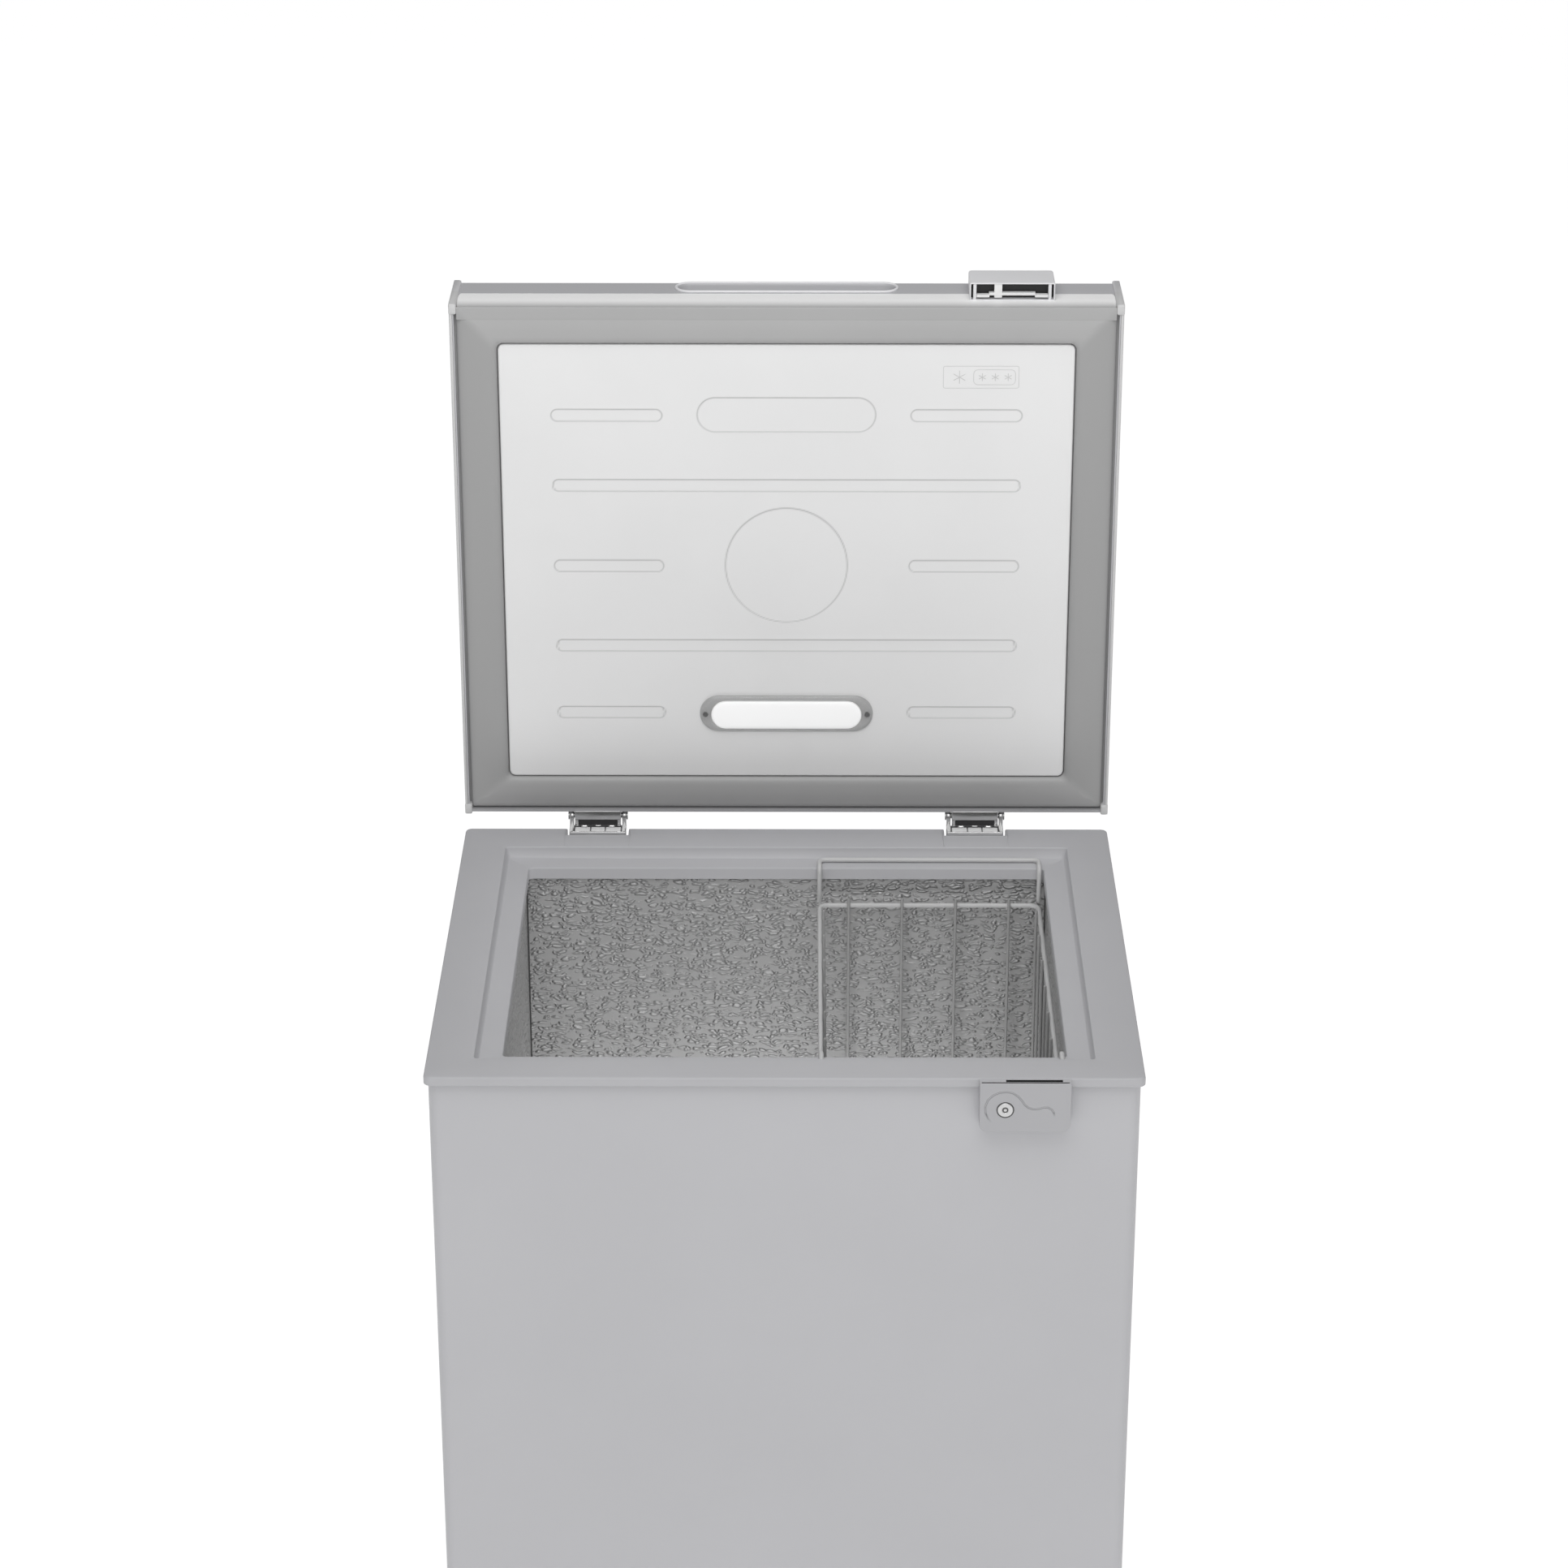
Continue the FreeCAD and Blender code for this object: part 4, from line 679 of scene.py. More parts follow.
def star_plate():
    """A faint raised plate with one large mark and a framed row of three small ones."""
    x0, x1, y0, y1 = 127.3, 188.5, 51.4, 70.1
    face = PANEL_FACE
    shells = [frame_bar(x0, x1, y0, y1, face - 0.22, 0.55, 1.5),
              frame_bar(x0 + 24.5, x1 - 2.8, y0 + 3.0, y1 - 3.0, face - 0.26, 0.5, 3.5)]
    marks = [(x0 + 13.0, (y0 + y1) / 2, 5.6)] + [(x0 + 31.5 + 10.5 * i, (y0 + y1) / 2, 3.3) for i in range(3)]
    for x, y, r in marks:
        for k in range(3):
            a = math.pi / 6 + k * math.pi / 3
            step = np.array([math.cos(a), math.sin(a), 0.0]) * r
            middle = np.array([x, y, face])
            shells.append(tube([middle - step, middle, middle + step], 0.32, sides=6))
    return shells


def frame_bar(x0, x1, y0, y1, z, thick, corner):
    """A thin raised outline of a rounded rectangle."""
    path = at_height(rectangle(x0, x1, y0, y1, corner, 6), z + thick / 2)
    return tube(path, thick / 2, closed=True, sides=6)


def along_x(profile, x0, x1, edge=0.6):
    """A strip: its (y, z) profile carried along x, drawn in a little at both ends."""
    profile = np.asarray(profile, float)
    middle = profile.mean(0)
    rings = []
    for x, draw in ((x0, 1 - edge / 6), (x0 + edge * 0.3, 1 - edge / 20), (x0 + edge, 1), (x1 - edge, 1),
                    (x1 - edge * 0.3, 1 - edge / 20), (x1, 1 - edge / 6)):
        p = middle + (profile - middle) * draw
        rings.append(np.column_stack([np.full(len(p), x), p]))
    return loft(rings)


CAP_BLOCK = 6.2                  # width of a cap's corner block
CAP_PLATE = 3.0


def front_strip(s):
    """Profile of the strip under the lid's front edge: a bulging face that turns under."""
    t = np.linspace(0, 1, 14)
    face = [(1.0 + 2.3 * (1 - smooth(v * 1.9)) ** 1.5 - 0.25 * math.sin(math.pi * v), 5.4 + 31.6 * v)
            for v in t]
    return [(3.9, 9.4), (3.75, 5.8)] + face + [(3.4, s.trim_top)]


def end_cap(s, side):
    """A cap: rounded rectangles in x and z carried front to back, with a thicker block at each corner."""
    outer = s.half_width
    stations = [(-1.0, 1.2), (-0.6, 0.5), (0.2, 0.0), (7.0, 0.0), (7.8, 0.6), (8.6, 3.0)]
    shells = []
    for flip in (False, True):
        rings = []
        for y, draw in stations:
            y = 449.0 - y if flip else y
            rings.append((y, outer - CAP_BLOCK + draw * 0.9, outer - draw * 0.25, 1.6 + draw,
                          s.lid_top - draw))
        shells.append(rings)
    plate = [(y, outer - CAP_PLATE + 0.1, outer - 0.25 - d, 2.4 + d, s.lid_top - 0.3 - d)
             for y, d in ((1.2, 0.8), (1.5, 0.2), (2.2, 0.0), (446.8, 0.0), (447.5, 0.2), (447.8, 0.8))]
    shells.append(plate)
    built = []
    for rings in shells:
        loops = []
        for y, a, b, z0, z1 in rings:
            ring = rectangle(a, b, z0, z1, min(1.2, (b - a) / 2.2), 5)
            loops.append(np.column_stack([ring[:, 0] * side, np.full(len(ring), y), ring[:, 1]]))
        built.append(loft(loops))
    return built


def cup(x0, x1, y0, y1, z_open, z_closed, wall, corner, edge, side):
    """A hollow box, open at z_open: outer rings to the rounded closed end and back down inside.

    The closed end is rounded by side where it meets x0 and x1, and by edge at y0 and y1.
    """
    turn = np.linspace(0, math.pi / 2, 6)
    way = 1 if z_closed > z_open else -1
    rows = [(0.25, 0.25, z_open), (0.0, 0.0, z_open + way * 0.25)]
    rows += [(side * (1 - math.cos(t)), edge * (1 - math.cos(t)), z_closed - way * side * (1 - math.sin(t)))
             for t in turn]
    outer = [at_height(rectangle(x0 + i, x1 - i, y0 + j, y1 - j, max(corner - j, 0.4)), z)
             for i, j, z in rows]
    inner_rows = [(wall - 0.25, z_open), (wall, z_open + way * 0.25), (wall, z_closed - way * (wall + side))]
    inner = [at_height(rectangle(x0 + i, x1 - i, y0 + i, y1 - i, max(corner - i, 0.3)), z)
             for i, z in inner_rows]
    return loft(inner[::-1] + outer)


def swap_to_front(shell):
    """Turns a shell drawn with z as depth so that z becomes y (depth) and y becomes height."""
    return (shell[0][:, [0, 2, 1]],) + shell[1:]


FINISH = {}                      # every material, filled by the first step
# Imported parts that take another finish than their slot's
PLAIN = {"lid_rear_trim": "shadow_grey", "lock_plate": "collar_plastic"}


class Step(bpy.types.Operator):
    """Base for the steps that build the freezer"""
    bl_options = {"REGISTER", "UNDO"}

    def made(self):
        """Sizes, colours and finishes that the step draws with."""
        scene = bpy.context.scene
        if not FINISH:
            FINISH.update(finishes(scene.freezer_colours))
        return millimetres(scene.freezer_sizes), FINISH


class FREEZER_OT_cad(Step):
    """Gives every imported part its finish"""
    bl_idname = "freezer.cad"
    bl_label = "Finish the packed parts"

    def execute(self, context):
        _, finish = self.made()
        slots = {part["node"]: part["material_slot"] for part in frame["record"]["subparts"]}
        for name, node in frame["nodes"].items():
            node.data.materials.clear()
            node.data.materials.append(finish[PLAIN.get(name, slots[name])])
        return {"FINISHED"}


class FREEZER_OT_collar(Step):
    """Builds the collar round the opening"""
    bl_idname = "freezer.collar"
    bl_label = "Collar"

    def execute(self, context):
        s, finish = self.made()
        build("collar", [loft(collar_rings(s), wrap=True)], finish["collar_plastic"], "cabinet",
              ["top_collar"])
        seams = [tube([(x, 392.2, -19.5), (x, 392.2, foot / 2), (x, 392.2, foot)], 0.8, sides=8)
                 for x, foot in ((-218.0, -706.0), (218.0, -531.0))]
        build("tub_seams", seams, finish["ring_grey"], "cabinet")
        return {"FINISHED"}


class FREEZER_OT_lid_inside(Step):
    """Builds the seal, the inner panel and its rating plate"""
    bl_idname = "freezer.lid_inside"
    bl_label = "Inside of the lid"

    def execute(self, context):
        s, finish = self.made()
        backing = loft(pillow(-269.3, 269.3, 3.6, 445.4, 8.0, 9.6, 1.0, 0.3))
        half = s.half_width - CAP_BLOCK - 0.1
        lip = along_x(SEAL_LIP, -half, half, 0.4)
        build("seal", [loft(seal_rings(), wrap=True), backing, lip], finish["gasket_grey"], "lid",
              ["lid_gasket"], from_shut_lid)
        us, vs = panel_lines()
        build("inner_panel", [relief(us, vs, (5.0, 5.0), panel_face, 10.0)], finish["panel_lined"], "lid",
              ["lid_inner_panel"], from_shut_lid)
        build("rating_plate", star_plate(), finish["mark_grey"], "lid", (),
              from_shut_lid)
        return {"FINISHED"}


class FREEZER_OT_lid_edges(Step):
    """Builds the front strip and the end caps of the lid"""
    bl_idname = "freezer.lid_edges"
    bl_label = "Edges of the lid"

    def execute(self, context):
        s, _ = self.made()
        half = s.half_width - CAP_BLOCK - 0.1
        front, edge = [(z - PIN[1] + PIN[0] + TO_FLOOR[1]) / 1000 for z in (3.0, s.trim_top)]
        colours = bpy.context.scene.freezer_colours
        strip = strip_plastic("lid strip", tuple(colours.strip), tuple(colours.lid_paint), front, edge)
        dim = tuple(c * 0.6 for c in colours.strip)
        cap = strip_plastic("lid cap", dim, grey(208, 2), front - 0.05, edge)
        build("front_strip", [along_x(front_strip(s), -half, half, 2.0)], strip, "lid",
              ["lid_front_trim"], from_shut_lid)
        for side, word in ((-1, "left"), (1, "right")):
            build("end_cap_" + word, end_cap(s, side), cap, "lid",
                  ["lid_end_cap_" + word], from_shut_lid)
        return {"FINISHED"}


GRIP = (-91.0, 91.0, 39.5, 65.0)


class FREEZER_OT_grip(Step):
    """Builds the finger recess in the front of the lid"""
    bl_idname = "freezer.grip"
    bl_label = "Grip"

    def execute(self, context):
        _, finish = self.made()
        x0, x1, z0, z1 = GRIP
        rows = [(-0.2, 1.4), (-0.2, 0.5), (0.5, 0.0), (1.5, 0.0), (2.4, 0.6), (3.0, 2.0), (3.6, 12.0),
                (5.2, 14.0), (11.0, 14.6)]
        rings = []
        for inset, y in rows[::-1] + [(0.2, 2.0), (1.0, 16.0)]:
            r = (z1 - z0) / 2 - inset
            ring = rectangle(x0 + inset, x1 - inset, z0 + inset, z1 - inset, r, 12)
            rings.append(np.column_stack([ring[:, 0], np.full(len(ring), y), ring[:, 1]]))
        build("grip", [loft(rings)], finish["lid_paint"], "lid", ["lid_handle_cup"],
              from_shut_lid)
        outline = rectangle(x0 + 0.9, x1 - 0.9, z0 + 0.9, z1 - 0.9, (z1 - z0) / 2 - 0.95, 14)
        path = np.column_stack([outline[:, 0], np.full(len(outline), 0.45), outline[:, 1]])
        build("grip_rim", [tube(path, 1.2, closed=True, sides=10)], finish["light_grey_plastic"], "lid",
              (), from_shut_lid)
        return {"FINISHED"}


HOUSING = (148.0, 217.0, -13.8, 19.0, 57.0)    # x from and to, front, lowest and highest z


class FREEZER_OT_latch(Step):
    """Builds the latch housing with a black block in its pocket as painted shade, white rib and stepped lips
    """
    bl_idname = "freezer.latch"
    bl_label = "Latch housing"

    def execute(self, context):
        _, finish = self.made()
        x0, x1, front, low, high = HOUSING
        shell = cup(x0, x1, front, 1.4, low, high, 1.1, 1.4, 2.0, 6.0)
        posts = [loft(pillow(a, b, front + 1.3, 0.9, low + 0.3, 26.0, 0.3, 0.25))
                 for a, b in ((x0 + 2.9, x0 + 5.4), (x1 - 5.4, x1 - 2.9))]
        build("latch_housing_shell", [shell] + posts, finish["light_grey_plastic"], "lid",
              ["latch_housing"], from_shut_lid)
        white = [(167.9, 174.2, front + 1.2, -1.2, 0.0), (x0 + 5.6, 164.0, -3.6, -1.6, -0.3),
                 (163.6, x1 - 15.8, -5.2, -3.2, -0.1), (x1 - 16.2, x1 - 5.6, -3.6, -1.6, -0.3)]
        ribs = [loft(pillow(a, b, c, d, low + 0.5 + lift, 25.0, 0.3, 0.25)) for a, b, c, d, lift in white]
        build("latch_ribs", ribs, finish["knob_white"], "lid", (), from_shut_lid)
        # A black block filling the pocket: painted shade inside the housing
        dark = loft(pillow(x0 + 1.3, x1 - 1.3, front + 1.3, 1.0, 26.5, high - 7.0, 0.3, 0.2))
        build("latch_pocket_shade", [dark], finish["black_plastic"], "lid", (),
              from_shut_lid)
        return {"FINISHED"}


LAMP = (-72.6, 72.6, 340.8, 373.4)
LENS = (-63.0, 63.0, 345.6, 370.5)


def pill_rings(box, rows):
    """Rings with round ends, long in x: one for each (inset, height)."""
    x0, x1, y0, y1 = box
    return [at_height(rectangle(x0 + i, x1 - i, y0 + i, y1 - i, (y1 - y0) / 2 - i - 0.01, 14), z)
            for i, z in rows]


class FREEZER_OT_lamp(Step):
    """Builds the lamp: a clear frame round a glowing diffuser"""
    bl_idname = "freezer.lamp"
    bl_label = "Lamp"

    def execute(self, context):
        _, finish = self.made()
        outside = pill_rings(LAMP, [(0.6, 3.6), (0.0, 3.2), (0.2, 2.4), (0.9, 1.6), (2.2, 1.1)])
        inside = pill_rings(LENS, [(-1.2, 1.0), (-0.4, 1.4), (-0.2, 3.6)])
        build("lamp_frame", [loft(outside + inside, wrap=True)], finish["lamp_clear"], "lid",
              ["lamp_housing"], from_shut_lid)
        lens = pill_rings(LENS, [(0.3, 4.5), (0.1, 1.6), (0.5, 0.9), (1.6, 0.4), (4.0, 0.15), (9.0, 0.02)])
        build("lamp_diffuser", [loft(lens)], finish["lens_white"], "lid", ["lamp_lens"],
              from_shut_lid)
        return {"FINISHED"}


class FREEZER_OT_hinges(Step):
    """Builds the leaves and brackets of both hinges"""
    bl_idname = "freezer.hinges"
    bl_label = "Hinges"

    def execute(self, context):
        _, finish = self.made()
        for side, word in ((-1, "left"), (1, "right")):
            x = side * HINGE_X
            self.leaf(finish, x, word)
            self.bracket(finish, x, word)
        return {"FINISHED"}

    def leaf(self, finish, x, word):
        """Plate on the lid's back, two lugs curled round the pin and a bar between them."""
        shells = [loft(pillow(x - 19.5, x + 19.5, 448.0, 449.6, 14.5, 60.0, 0.7, 0.3))]
        # Front face round the slot: above it, below it and at its two sides
        for a, b, c, d in ((-19.5, 19.5, 447.6, 455.4), (-19.5, -16.6, 454.6, 461.2),
                           (16.6, 19.5, 454.6, 461.2)):
            shells.append(loft(pillow(x + a, x + b, c, d, 2.7, 4.4, 0.5, 0.35)))
        # Two stout bars and a thin one between them: both ends in x, y and radius
        for a, b, y, r in ((-14.4, -8.8, 461.6, 1.15), (8.8, 14.4, 461.6, 1.15), (-2.6, 2.6, 461.1, 0.6)):
            bar = [(x + a, y, 3.7), (x + (a + b) / 2, y + 0.3, 3.7), (x + b, y, 3.7)]
            shells.append(tube(bar, r, sides=12))
        curl = [(449.6, 16.5), (448.0, 16.5), (448.2, 12.0), (449.0, 8.5)]
        ring = [(PIN[0] + 4.2 * math.cos(t), PIN[1] + 4.2 * math.sin(t))
                for t in np.linspace(math.pi * 1.15, math.pi * 2.75, 22)]
        lug = curl + ring + [(449.6, 15.6)]
        for a, b in ((x - 19.5, x - 15.0), (x + 15.0, x + 19.5)):
            shells.append(along_x(lug, a, b, 0.5))
        crossbar = [(x + step, 450.6, 15.0) for step in (-15.2, 0.0, 15.2)]
        shells.append(tube(crossbar, 1.7, sides=12))
        build("hinge_leaf_plate_" + word, shells, finish["hinge_chrome"], "lid",
              ["hinge_leaf_" + word], from_shut_lid)
        # A black pill in the leaf's slot: painted shade under the leaf
        slot = loft(pillow(x - 16.8, x + 16.8, 455.0, 460.8, 3.2, 7.6, 0.6, 0.3))
        build("hinge_slot_shade_" + word, [slot], finish["black_plastic"], "lid", (),
              from_shut_lid)

    def bracket(self, finish, x, word):
        """Plate on the cabinet's back with two rounded ears, three white plates between them and a grey wall
        and base behind and under these as painted shade.
        """
        shells = [loft(pillow(x - 24.0, x + 24.0, 437.45, 439.2, -72.0, 2.3, 0.8, 0.5))]
        turn = np.linspace(-0.35 * math.pi, 1.0 * math.pi, 14)
        head = [(PIN[0] + 4.7 * math.cos(t), PIN[1] + 4.7 * math.sin(t)) for t in turn]
        ear = [(438.0, -30.0), (458.9, -12.0)] + head + [(449.6, 2.3), (438.0, 2.3)]
        for a, b in ((x - 24.0, x - 20.4), (x + 20.4, x + 24.0)):
            shells.append(along_x(ear, a, b, 0.8))
        plates = [loft(pillow(x + a, x + b, 440.2, 448.6, -0.4, 1.9, 0.8, 0.6))
                  for a, b in ((-19.4, -6.6), (-5.8, 5.8), (6.6, 19.4))]
        build("hinge_floor_" + word, plates, finish["knob_white"], "cabinet")
        build("hinge_bracket_plate_" + word, shells, finish["hinge_chrome"], "cabinet",
              ["hinge_bracket_" + word])
        # A grey wall and base behind and under the white plates: painted shade in the gaps between them
        wall = loft(pillow(x - 20.3, x + 20.3, 450.4, 451.4, -9.0, 2.2, 0.4, 0.2))
        base = loft(pillow(x - 20.3, x + 20.3, 439.4, 450.6, -2.2, 0.4, 0.4, 0.2))
        build("hinge_back_shade_" + word, [wall, base], finish["control_grey"], "cabinet")


BARREL = (166.5, -23.2)
PLATE = (147.0, 216.0, -42.0, -0.5)
PLATE_FACE, PLATE_BACK = -6.9, -5.1      # y of the plate's front and of its back
PLATE_EDGE = 0.4
GROOVE = 0.5
BARREL_FACE = -7.2
SLOT = (166.85, 209.55, -4.58, -1.42)    # x and y of the slot in the plate's top
SLOT_WALL = 0.25
# The engraved line round the barrel and away to the right, in x and z
ENGRAVED = np.array([
    (157.7, -35.1), (153.6, -30.6), (151.6, -25.5), (151.3, -20.5), (153.3, -14.9), (157.1, -10.9),
    (161.8, -8.6), (167.1, -7.9), (171.8, -8.8), (175.9, -11.6), (178.8, -15.2), (180.9, -18.6),
    (183.7, -21.2), (187.3, -22.5), (191.6, -22.3), (195.2, -21.1), (198.7, -21.1), (201.6, -22.9),
    (203.3, -25.9), (203.9, -29.4)])


def plate_height(u, v, margin):
    """Face of the lock plate: a groove along the engraved line that fades at its two ends."""
    starts, ends = ENGRAVED[:-1], ENGRAVED[1:]
    run = ends - starts
    p = np.stack([u, v], -1)[..., None, :]
    t = np.clip(((p - starts) * run).sum(-1) / (run ** 2).sum(-1), 0, 1)
    gap = np.hypot(*np.moveaxis(p - (starts + t[..., None] * run), -1, 0))
    nearest = gap.argmin(-1)
    along = (nearest + np.take_along_axis(t, nearest[..., None], -1)[..., 0]) / len(starts)
    line = smooth(along / 0.12) * smooth((1 - along) / 0.08) * smooth(1 - gap.min(-1) / 1.05)
    return PLATE_FACE + GROOVE * line + edge_drop(margin, PLATE_EDGE), line


class FREEZER_OT_lock(Step):
    """Builds the face of the lock plate and its key barrel"""
    bl_idname = "freezer.lock"
    bl_label = "Lock"

    def execute(self, context):
        s, finish = self.made()
        x0, x1, z0, z1 = PLATE
        us = lines(x0, x1, 0.36, [(x0, x0 + 0.6, 0.12), (x1 - 0.6, x1, 0.12)])
        vs = lines(z0, z1, 0.36, [(z0, z0 + 0.6, 0.12), (z1 - 0.6, z1, 0.12)])
        face = swap_to_front(relief(us, vs, (7.0, 1.4), plate_height, PLATE_BACK))
        build("lock_face", [face], finish["plate_lined"], "cabinet")
        # Black lining of the slot's four walls, painted shade inside the slot: the hook rises through its
        # open middle
        a, b, c, d = SLOT
        shade_lining = [at_height(rectangle(a + i, b - i, c + i, d - i, 0.3), z)
                  for i, z in ((0.0, -3.4), (0.0, -0.42), (SLOT_WALL, -0.42), (SLOT_WALL, -3.4))]
        build("lock_slot_shade", [loft(shade_lining, wrap=True)], finish["black_plastic"], "cabinet")
        r = s.barrel
        face = [(0.3, -0.25), (2.4, -0.25), (2.6, 0.0), (r - 1.2, 0.0), (r - 0.95, -0.3), (r - 0.9, -12.0),
                (0.3, -12.0)]
        dot = [(0.3, 0.08), (0.8, 0.05), (1.2, -0.1), (1.3, -0.6), (0.3, -0.6)]
        # Dark rings in the barrel's two grooves: painted shade
        rings = [[(1.3, -0.4), (1.3, -0.18), (2.25, -0.18), (2.25, -0.4)],
                 [(r - 0.85, -11.0), (r - 0.85, -0.1), (r - 0.2, -0.1), (r, -0.4), (r, -11.0)]]

        def turned(profile, closed=False):
            """A turned piece of the lock, lying along y at the barrel."""
            points, quads, ends = lathe([(a, BARREL_FACE - b) for a, b in profile], 48, closed)
            return points[:, [0, 2, 1]] + [BARREL[0], 0.0, BARREL[1]], quads, ends

        build("key_barrel", [turned(face), turned(dot)], finish["barrel_face"], "lock",
              ["lock_barrel"])
        build("key_ring_shades", [turned(ring, True) for ring in rings], finish["ring_grey"], "lock")
        return {"FINISHED"}


BASKET = (28.0, 212.0, 57.0, 385.0)
BASKET_Z = (-41.0, -240.0, -33.0)    # rail, floor and the tips of the upright wires
BASKET_LOOPS = (37.5, 402.0)


class FREEZER_OT_basket(Step):
    """Builds the wire basket with round, softly ended wires"""
    bl_idname = "freezer.basket"
    bl_label = "Basket"

    def execute(self, context):
        s, finish = self.made()
        x0, x1, y0, y1 = BASKET
        rail, floor, tip = BASKET_Z
        top = -s.ledge + s.rail + 0.1
        wires = [tube(bent([(x0, y0, rail), (x1, y0, rail), (x1, y1, rail), (x0, y1, rail)], 8.0, True),
                      s.rail, True)]
        for y, out in zip((y0, y1), BASKET_LOOPS):
            loop = [(x0, y, rail + s.rail), (x0, y, top), (x0, out, top), (x1, out, top), (x1, y, top),
                    (x1, y, rail + s.rail)]
            wires.append(tube(bent(loop, 5.0), s.rail))
        coat = finish["wire_coating"]
        build("basket_rail", wires, coat, "basket", ["basket_rim"])
        draw = s.rail + s.wire
        cage = (x0 + draw, x1 - draw, y0 + draw, y1 - draw)
        xs = [x0 + 24.6 + 44.8 * i for i in range(4)]
        ys = [cage[2] + (cage[3] - cage[2]) * (i + 0.5) / 7 for i in range(7)]
        cross = floor - 2 * s.wire

        def straight(a, b):
            """One thin wire between two points."""
            a, b = np.array(a, float), np.array(b, float)
            return tube([a, a * 0.99 + b * 0.01, a * 0.01 + b * 0.99, b], s.wire, sides=10)

        level = [straight((x, cage[2] - s.wire, floor), (x, cage[3] + s.wire, floor)) for x in xs]
        level += [straight((cage[0] - s.wire, y, cross), (cage[1] + s.wire, y, cross)) for y in ys]
        build("basket_floor_wires", level, coat, "basket", ["basket_floor"])
        # The upright wires take the darker wire coating: painted shade inside the tub
        for word, y in (("front", cage[2]), ("back", cage[3])):
            build("basket_wires_" + word, [straight((x, y, floor + s.wire), (x, y, tip)) for x in xs],
                  finish["wire_coating_shaded"], "basket", ["basket_wall_" + word])
        for word, x in (("left", cage[0]), ("right", cage[1])):
            build("basket_wires_" + word, [straight((x, y, cross + s.wire), (x, y, tip)) for y in ys],
                  finish["wire_coating_shaded"], "basket", ["basket_wall_" + word])
        return {"FINISHED"}


def soft_light(name, place, aim, size, power, shine):
    """A square lamp at a place, facing a point. shine says whether glossy surfaces show it."""
    light = bpy.data.lights.new(name, "AREA")
    light.size = size
    light.energy = power
    lamp = bpy.data.objects.new(name, light)
    bpy.context.scene.collection.objects.link(lamp)
    lamp.location = place
    back = np.array(place) - np.array(aim)
    yaw = math.atan2(back[0], -back[1])
    lamp.rotation_euler = (math.atan2(math.hypot(back[0], back[1]), back[2]), 0.0, yaw)
    lamp.visible_glossy = shine
    return lamp


FLOOR_REACH = 40.0
FLOOR_GLOW = 0.76
WORLD_LIGHT = 0.30
# Name, place, aim, size, watts and whether glossy surfaces show it
LIGHTS = (("front_light", (0.2, -3.6, 2.6), (0.0, 0.0, 0.8), 2.6, 24.0, True),
          ("top_light", (0.0, -0.7, 2.4), (0.0, 0.15, 0.9), 1.4, 15.0, True),
          ("tub_light", (0.0, -0.14, 0.31), (0.0, 0.14, 0.33), 0.24, 1.9, False))
FOCAL = 96.327                   # millimetres, on a sensor 36 mm wide
CAMERA_PLACE = (0.010444, -3.045077, 2.273204)
CAMERA_TURN = (math.radians(90 - 24.089), 0.0, math.radians(0.2197))


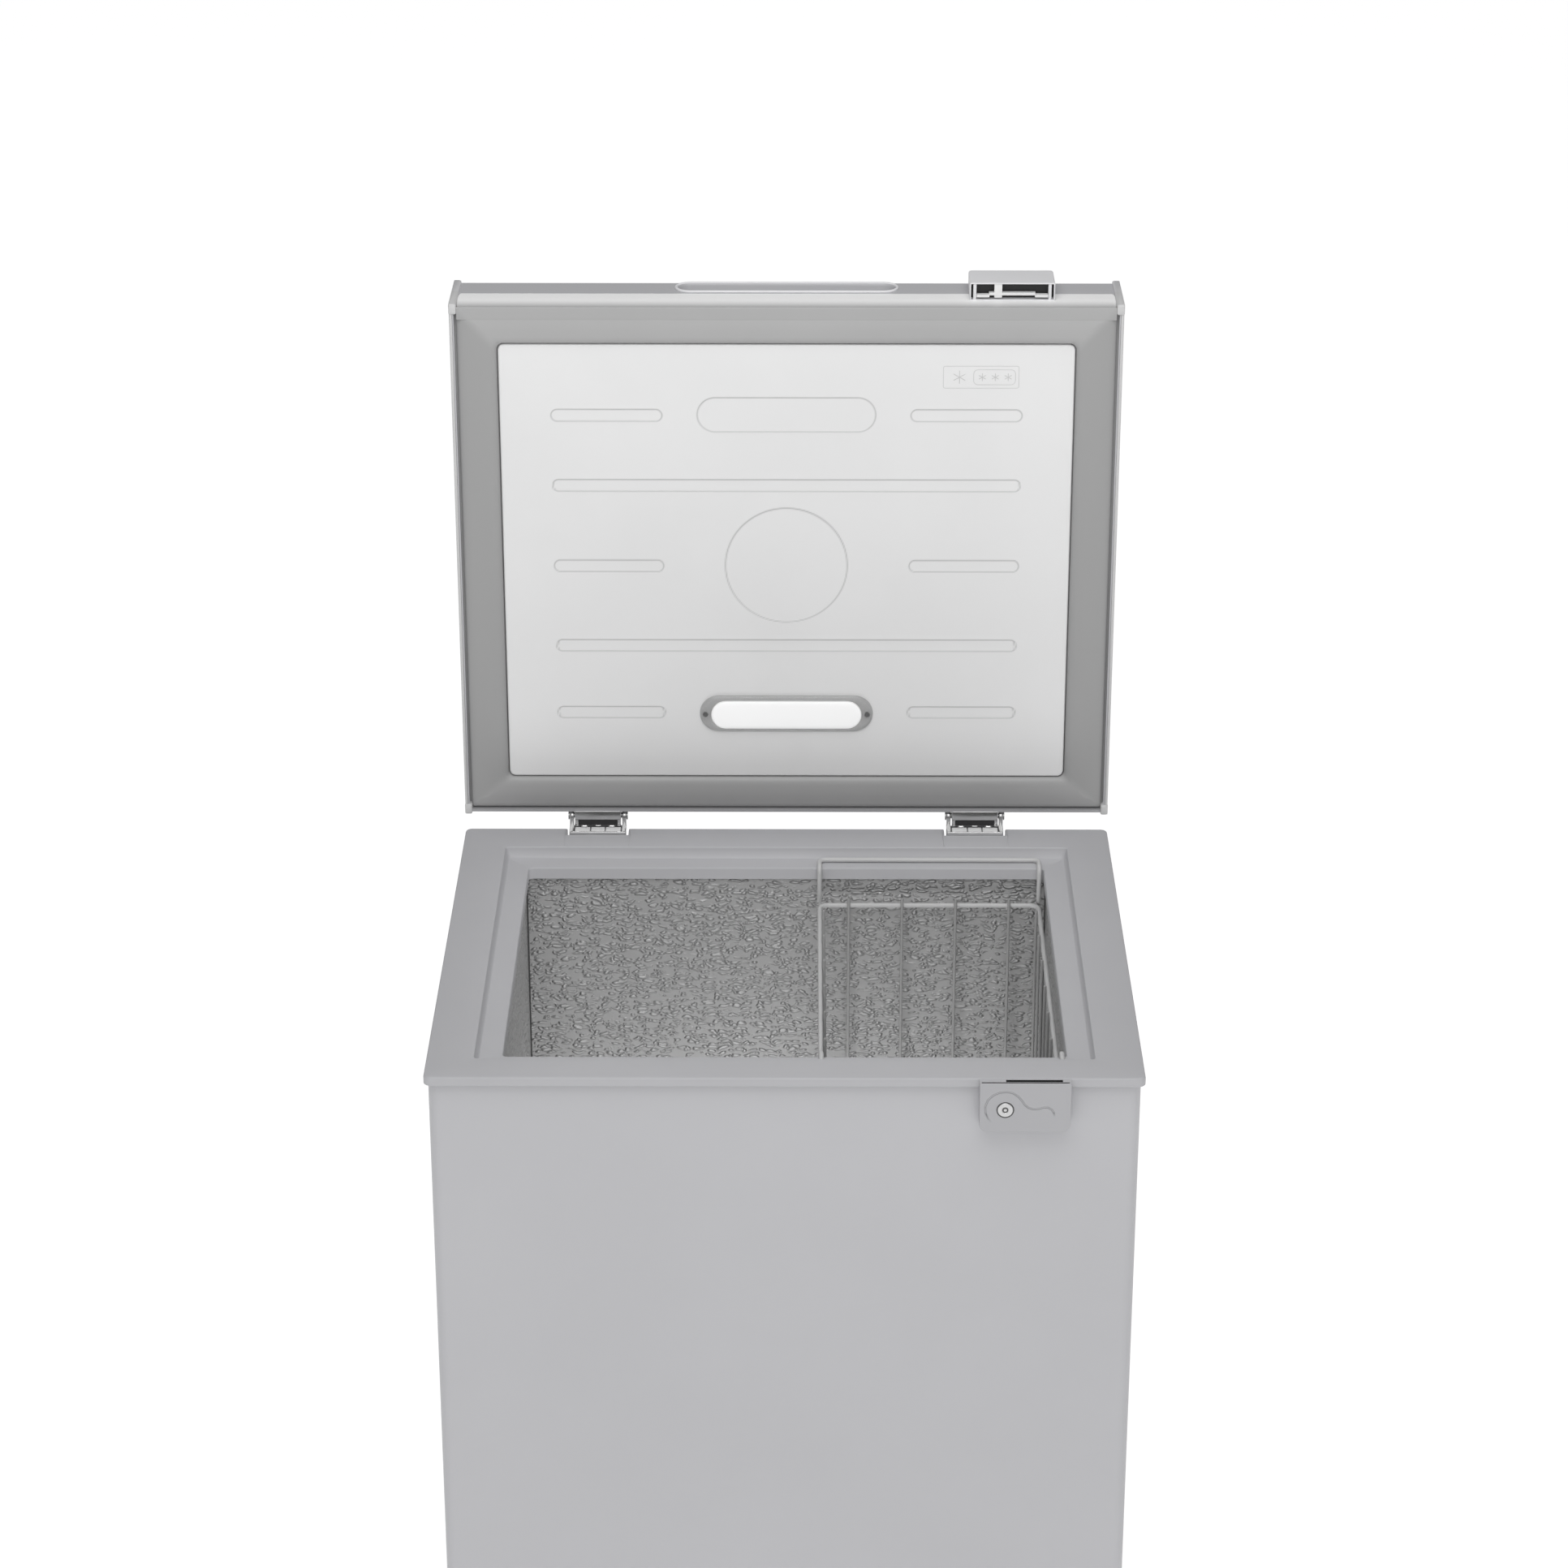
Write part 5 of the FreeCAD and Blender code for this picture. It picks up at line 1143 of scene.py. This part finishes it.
class FREEZER_OT_studio(Step):
    """Builds the pale floor, the soft lights and the camera"""
    bl_idname = "freezer.studio"
    bl_label = "Studio"

    def execute(self, context):
        scene = bpy.context.scene
        wide = FLOOR_REACH
        corners = [(-wide, -wide, 0.0), (wide, -wide, 0.0), (wide, wide, 0.0), (-wide, wide, 0.0)]
        mesh = bpy.data.meshes.new("floor")
        mesh.from_pydata(corners, [], [(0, 1, 2, 3)])
        sh = Shader("floor")
        glow = sh.mix(sh.y.between(-0.2, 0.45), (0.70, 0.70, 0.70), (0.95, 0.95, 0.95))
        sh.tree.links.new(glow.socket, sh.surface.inputs["Emission Color"])
        mesh.materials.append(sh.done(sh.shade((0.9, 0.9, 0.9), 0.01, 0.5), 0.8, sh.noise(60.0), 0.0005,
                                      0.1, Emission_Strength=FLOOR_GLOW))
        floor = bpy.data.objects.new("floor", mesh)
        scene.collection.objects.link(floor)
        world = bpy.data.worlds.new("studio")
        world.use_nodes = True
        world.node_tree.nodes["Background"].inputs["Color"].default_value = (1.0, 1.0, 1.0, 1.0)
        world.node_tree.nodes["Background"].inputs["Strength"].default_value = WORLD_LIGHT
        scene.world = world
        for light in LIGHTS:
            soft_light(*light)
        camera = bpy.data.cameras.new("camera")
        camera.lens = FOCAL
        camera.sensor_width = 36.0
        holder = bpy.data.objects.new("camera", camera)
        scene.collection.objects.link(holder)
        holder.location = CAMERA_PLACE
        holder.rotation_euler = CAMERA_TURN
        scene.camera = holder
        scene.view_settings.view_transform = "Standard"
        return {"FINISHED"}


STEPS = (FREEZER_OT_cad, FREEZER_OT_collar, FREEZER_OT_lid_inside, FREEZER_OT_lid_edges, FREEZER_OT_grip,
         FREEZER_OT_latch, FREEZER_OT_lamp, FREEZER_OT_hinges, FREEZER_OT_lock, FREEZER_OT_basket,
         FREEZER_OT_studio)


class FREEZER_PT_panel(bpy.types.Panel):
    bl_label = "Chest freezer"
    bl_idname = "FREEZER_PT_panel"
    bl_space_type = "VIEW_3D"
    bl_region_type = "UI"
    bl_category = "Freezer"

    def draw(self, context):
        for group in (context.scene.freezer_sizes, context.scene.freezer_colours):
            for name in type(group).__annotations__:
                self.layout.prop(group, name)
        for step in STEPS:
            self.layout.operator(step.bl_idname)


CLASSES = (FreezerSizes, FreezerColours) + STEPS + (FREEZER_PT_panel,)


def register():
    for kind in CLASSES:
        bpy.utils.register_class(kind)
    bpy.types.Scene.freezer_sizes = bpy.props.PointerProperty(type=FreezerSizes)
    bpy.types.Scene.freezer_colours = bpy.props.PointerProperty(type=FreezerColours)


def unregister():
    del bpy.types.Scene.freezer_sizes
    del bpy.types.Scene.freezer_colours
    for kind in reversed(CLASSES):
        bpy.utils.unregister_class(kind)


def main():
    register()
    for step in STEPS:
        group, name = step.bl_idname.split(".")
        getattr(getattr(bpy.ops, group), name)()


if __name__ == "__main__":
    main()
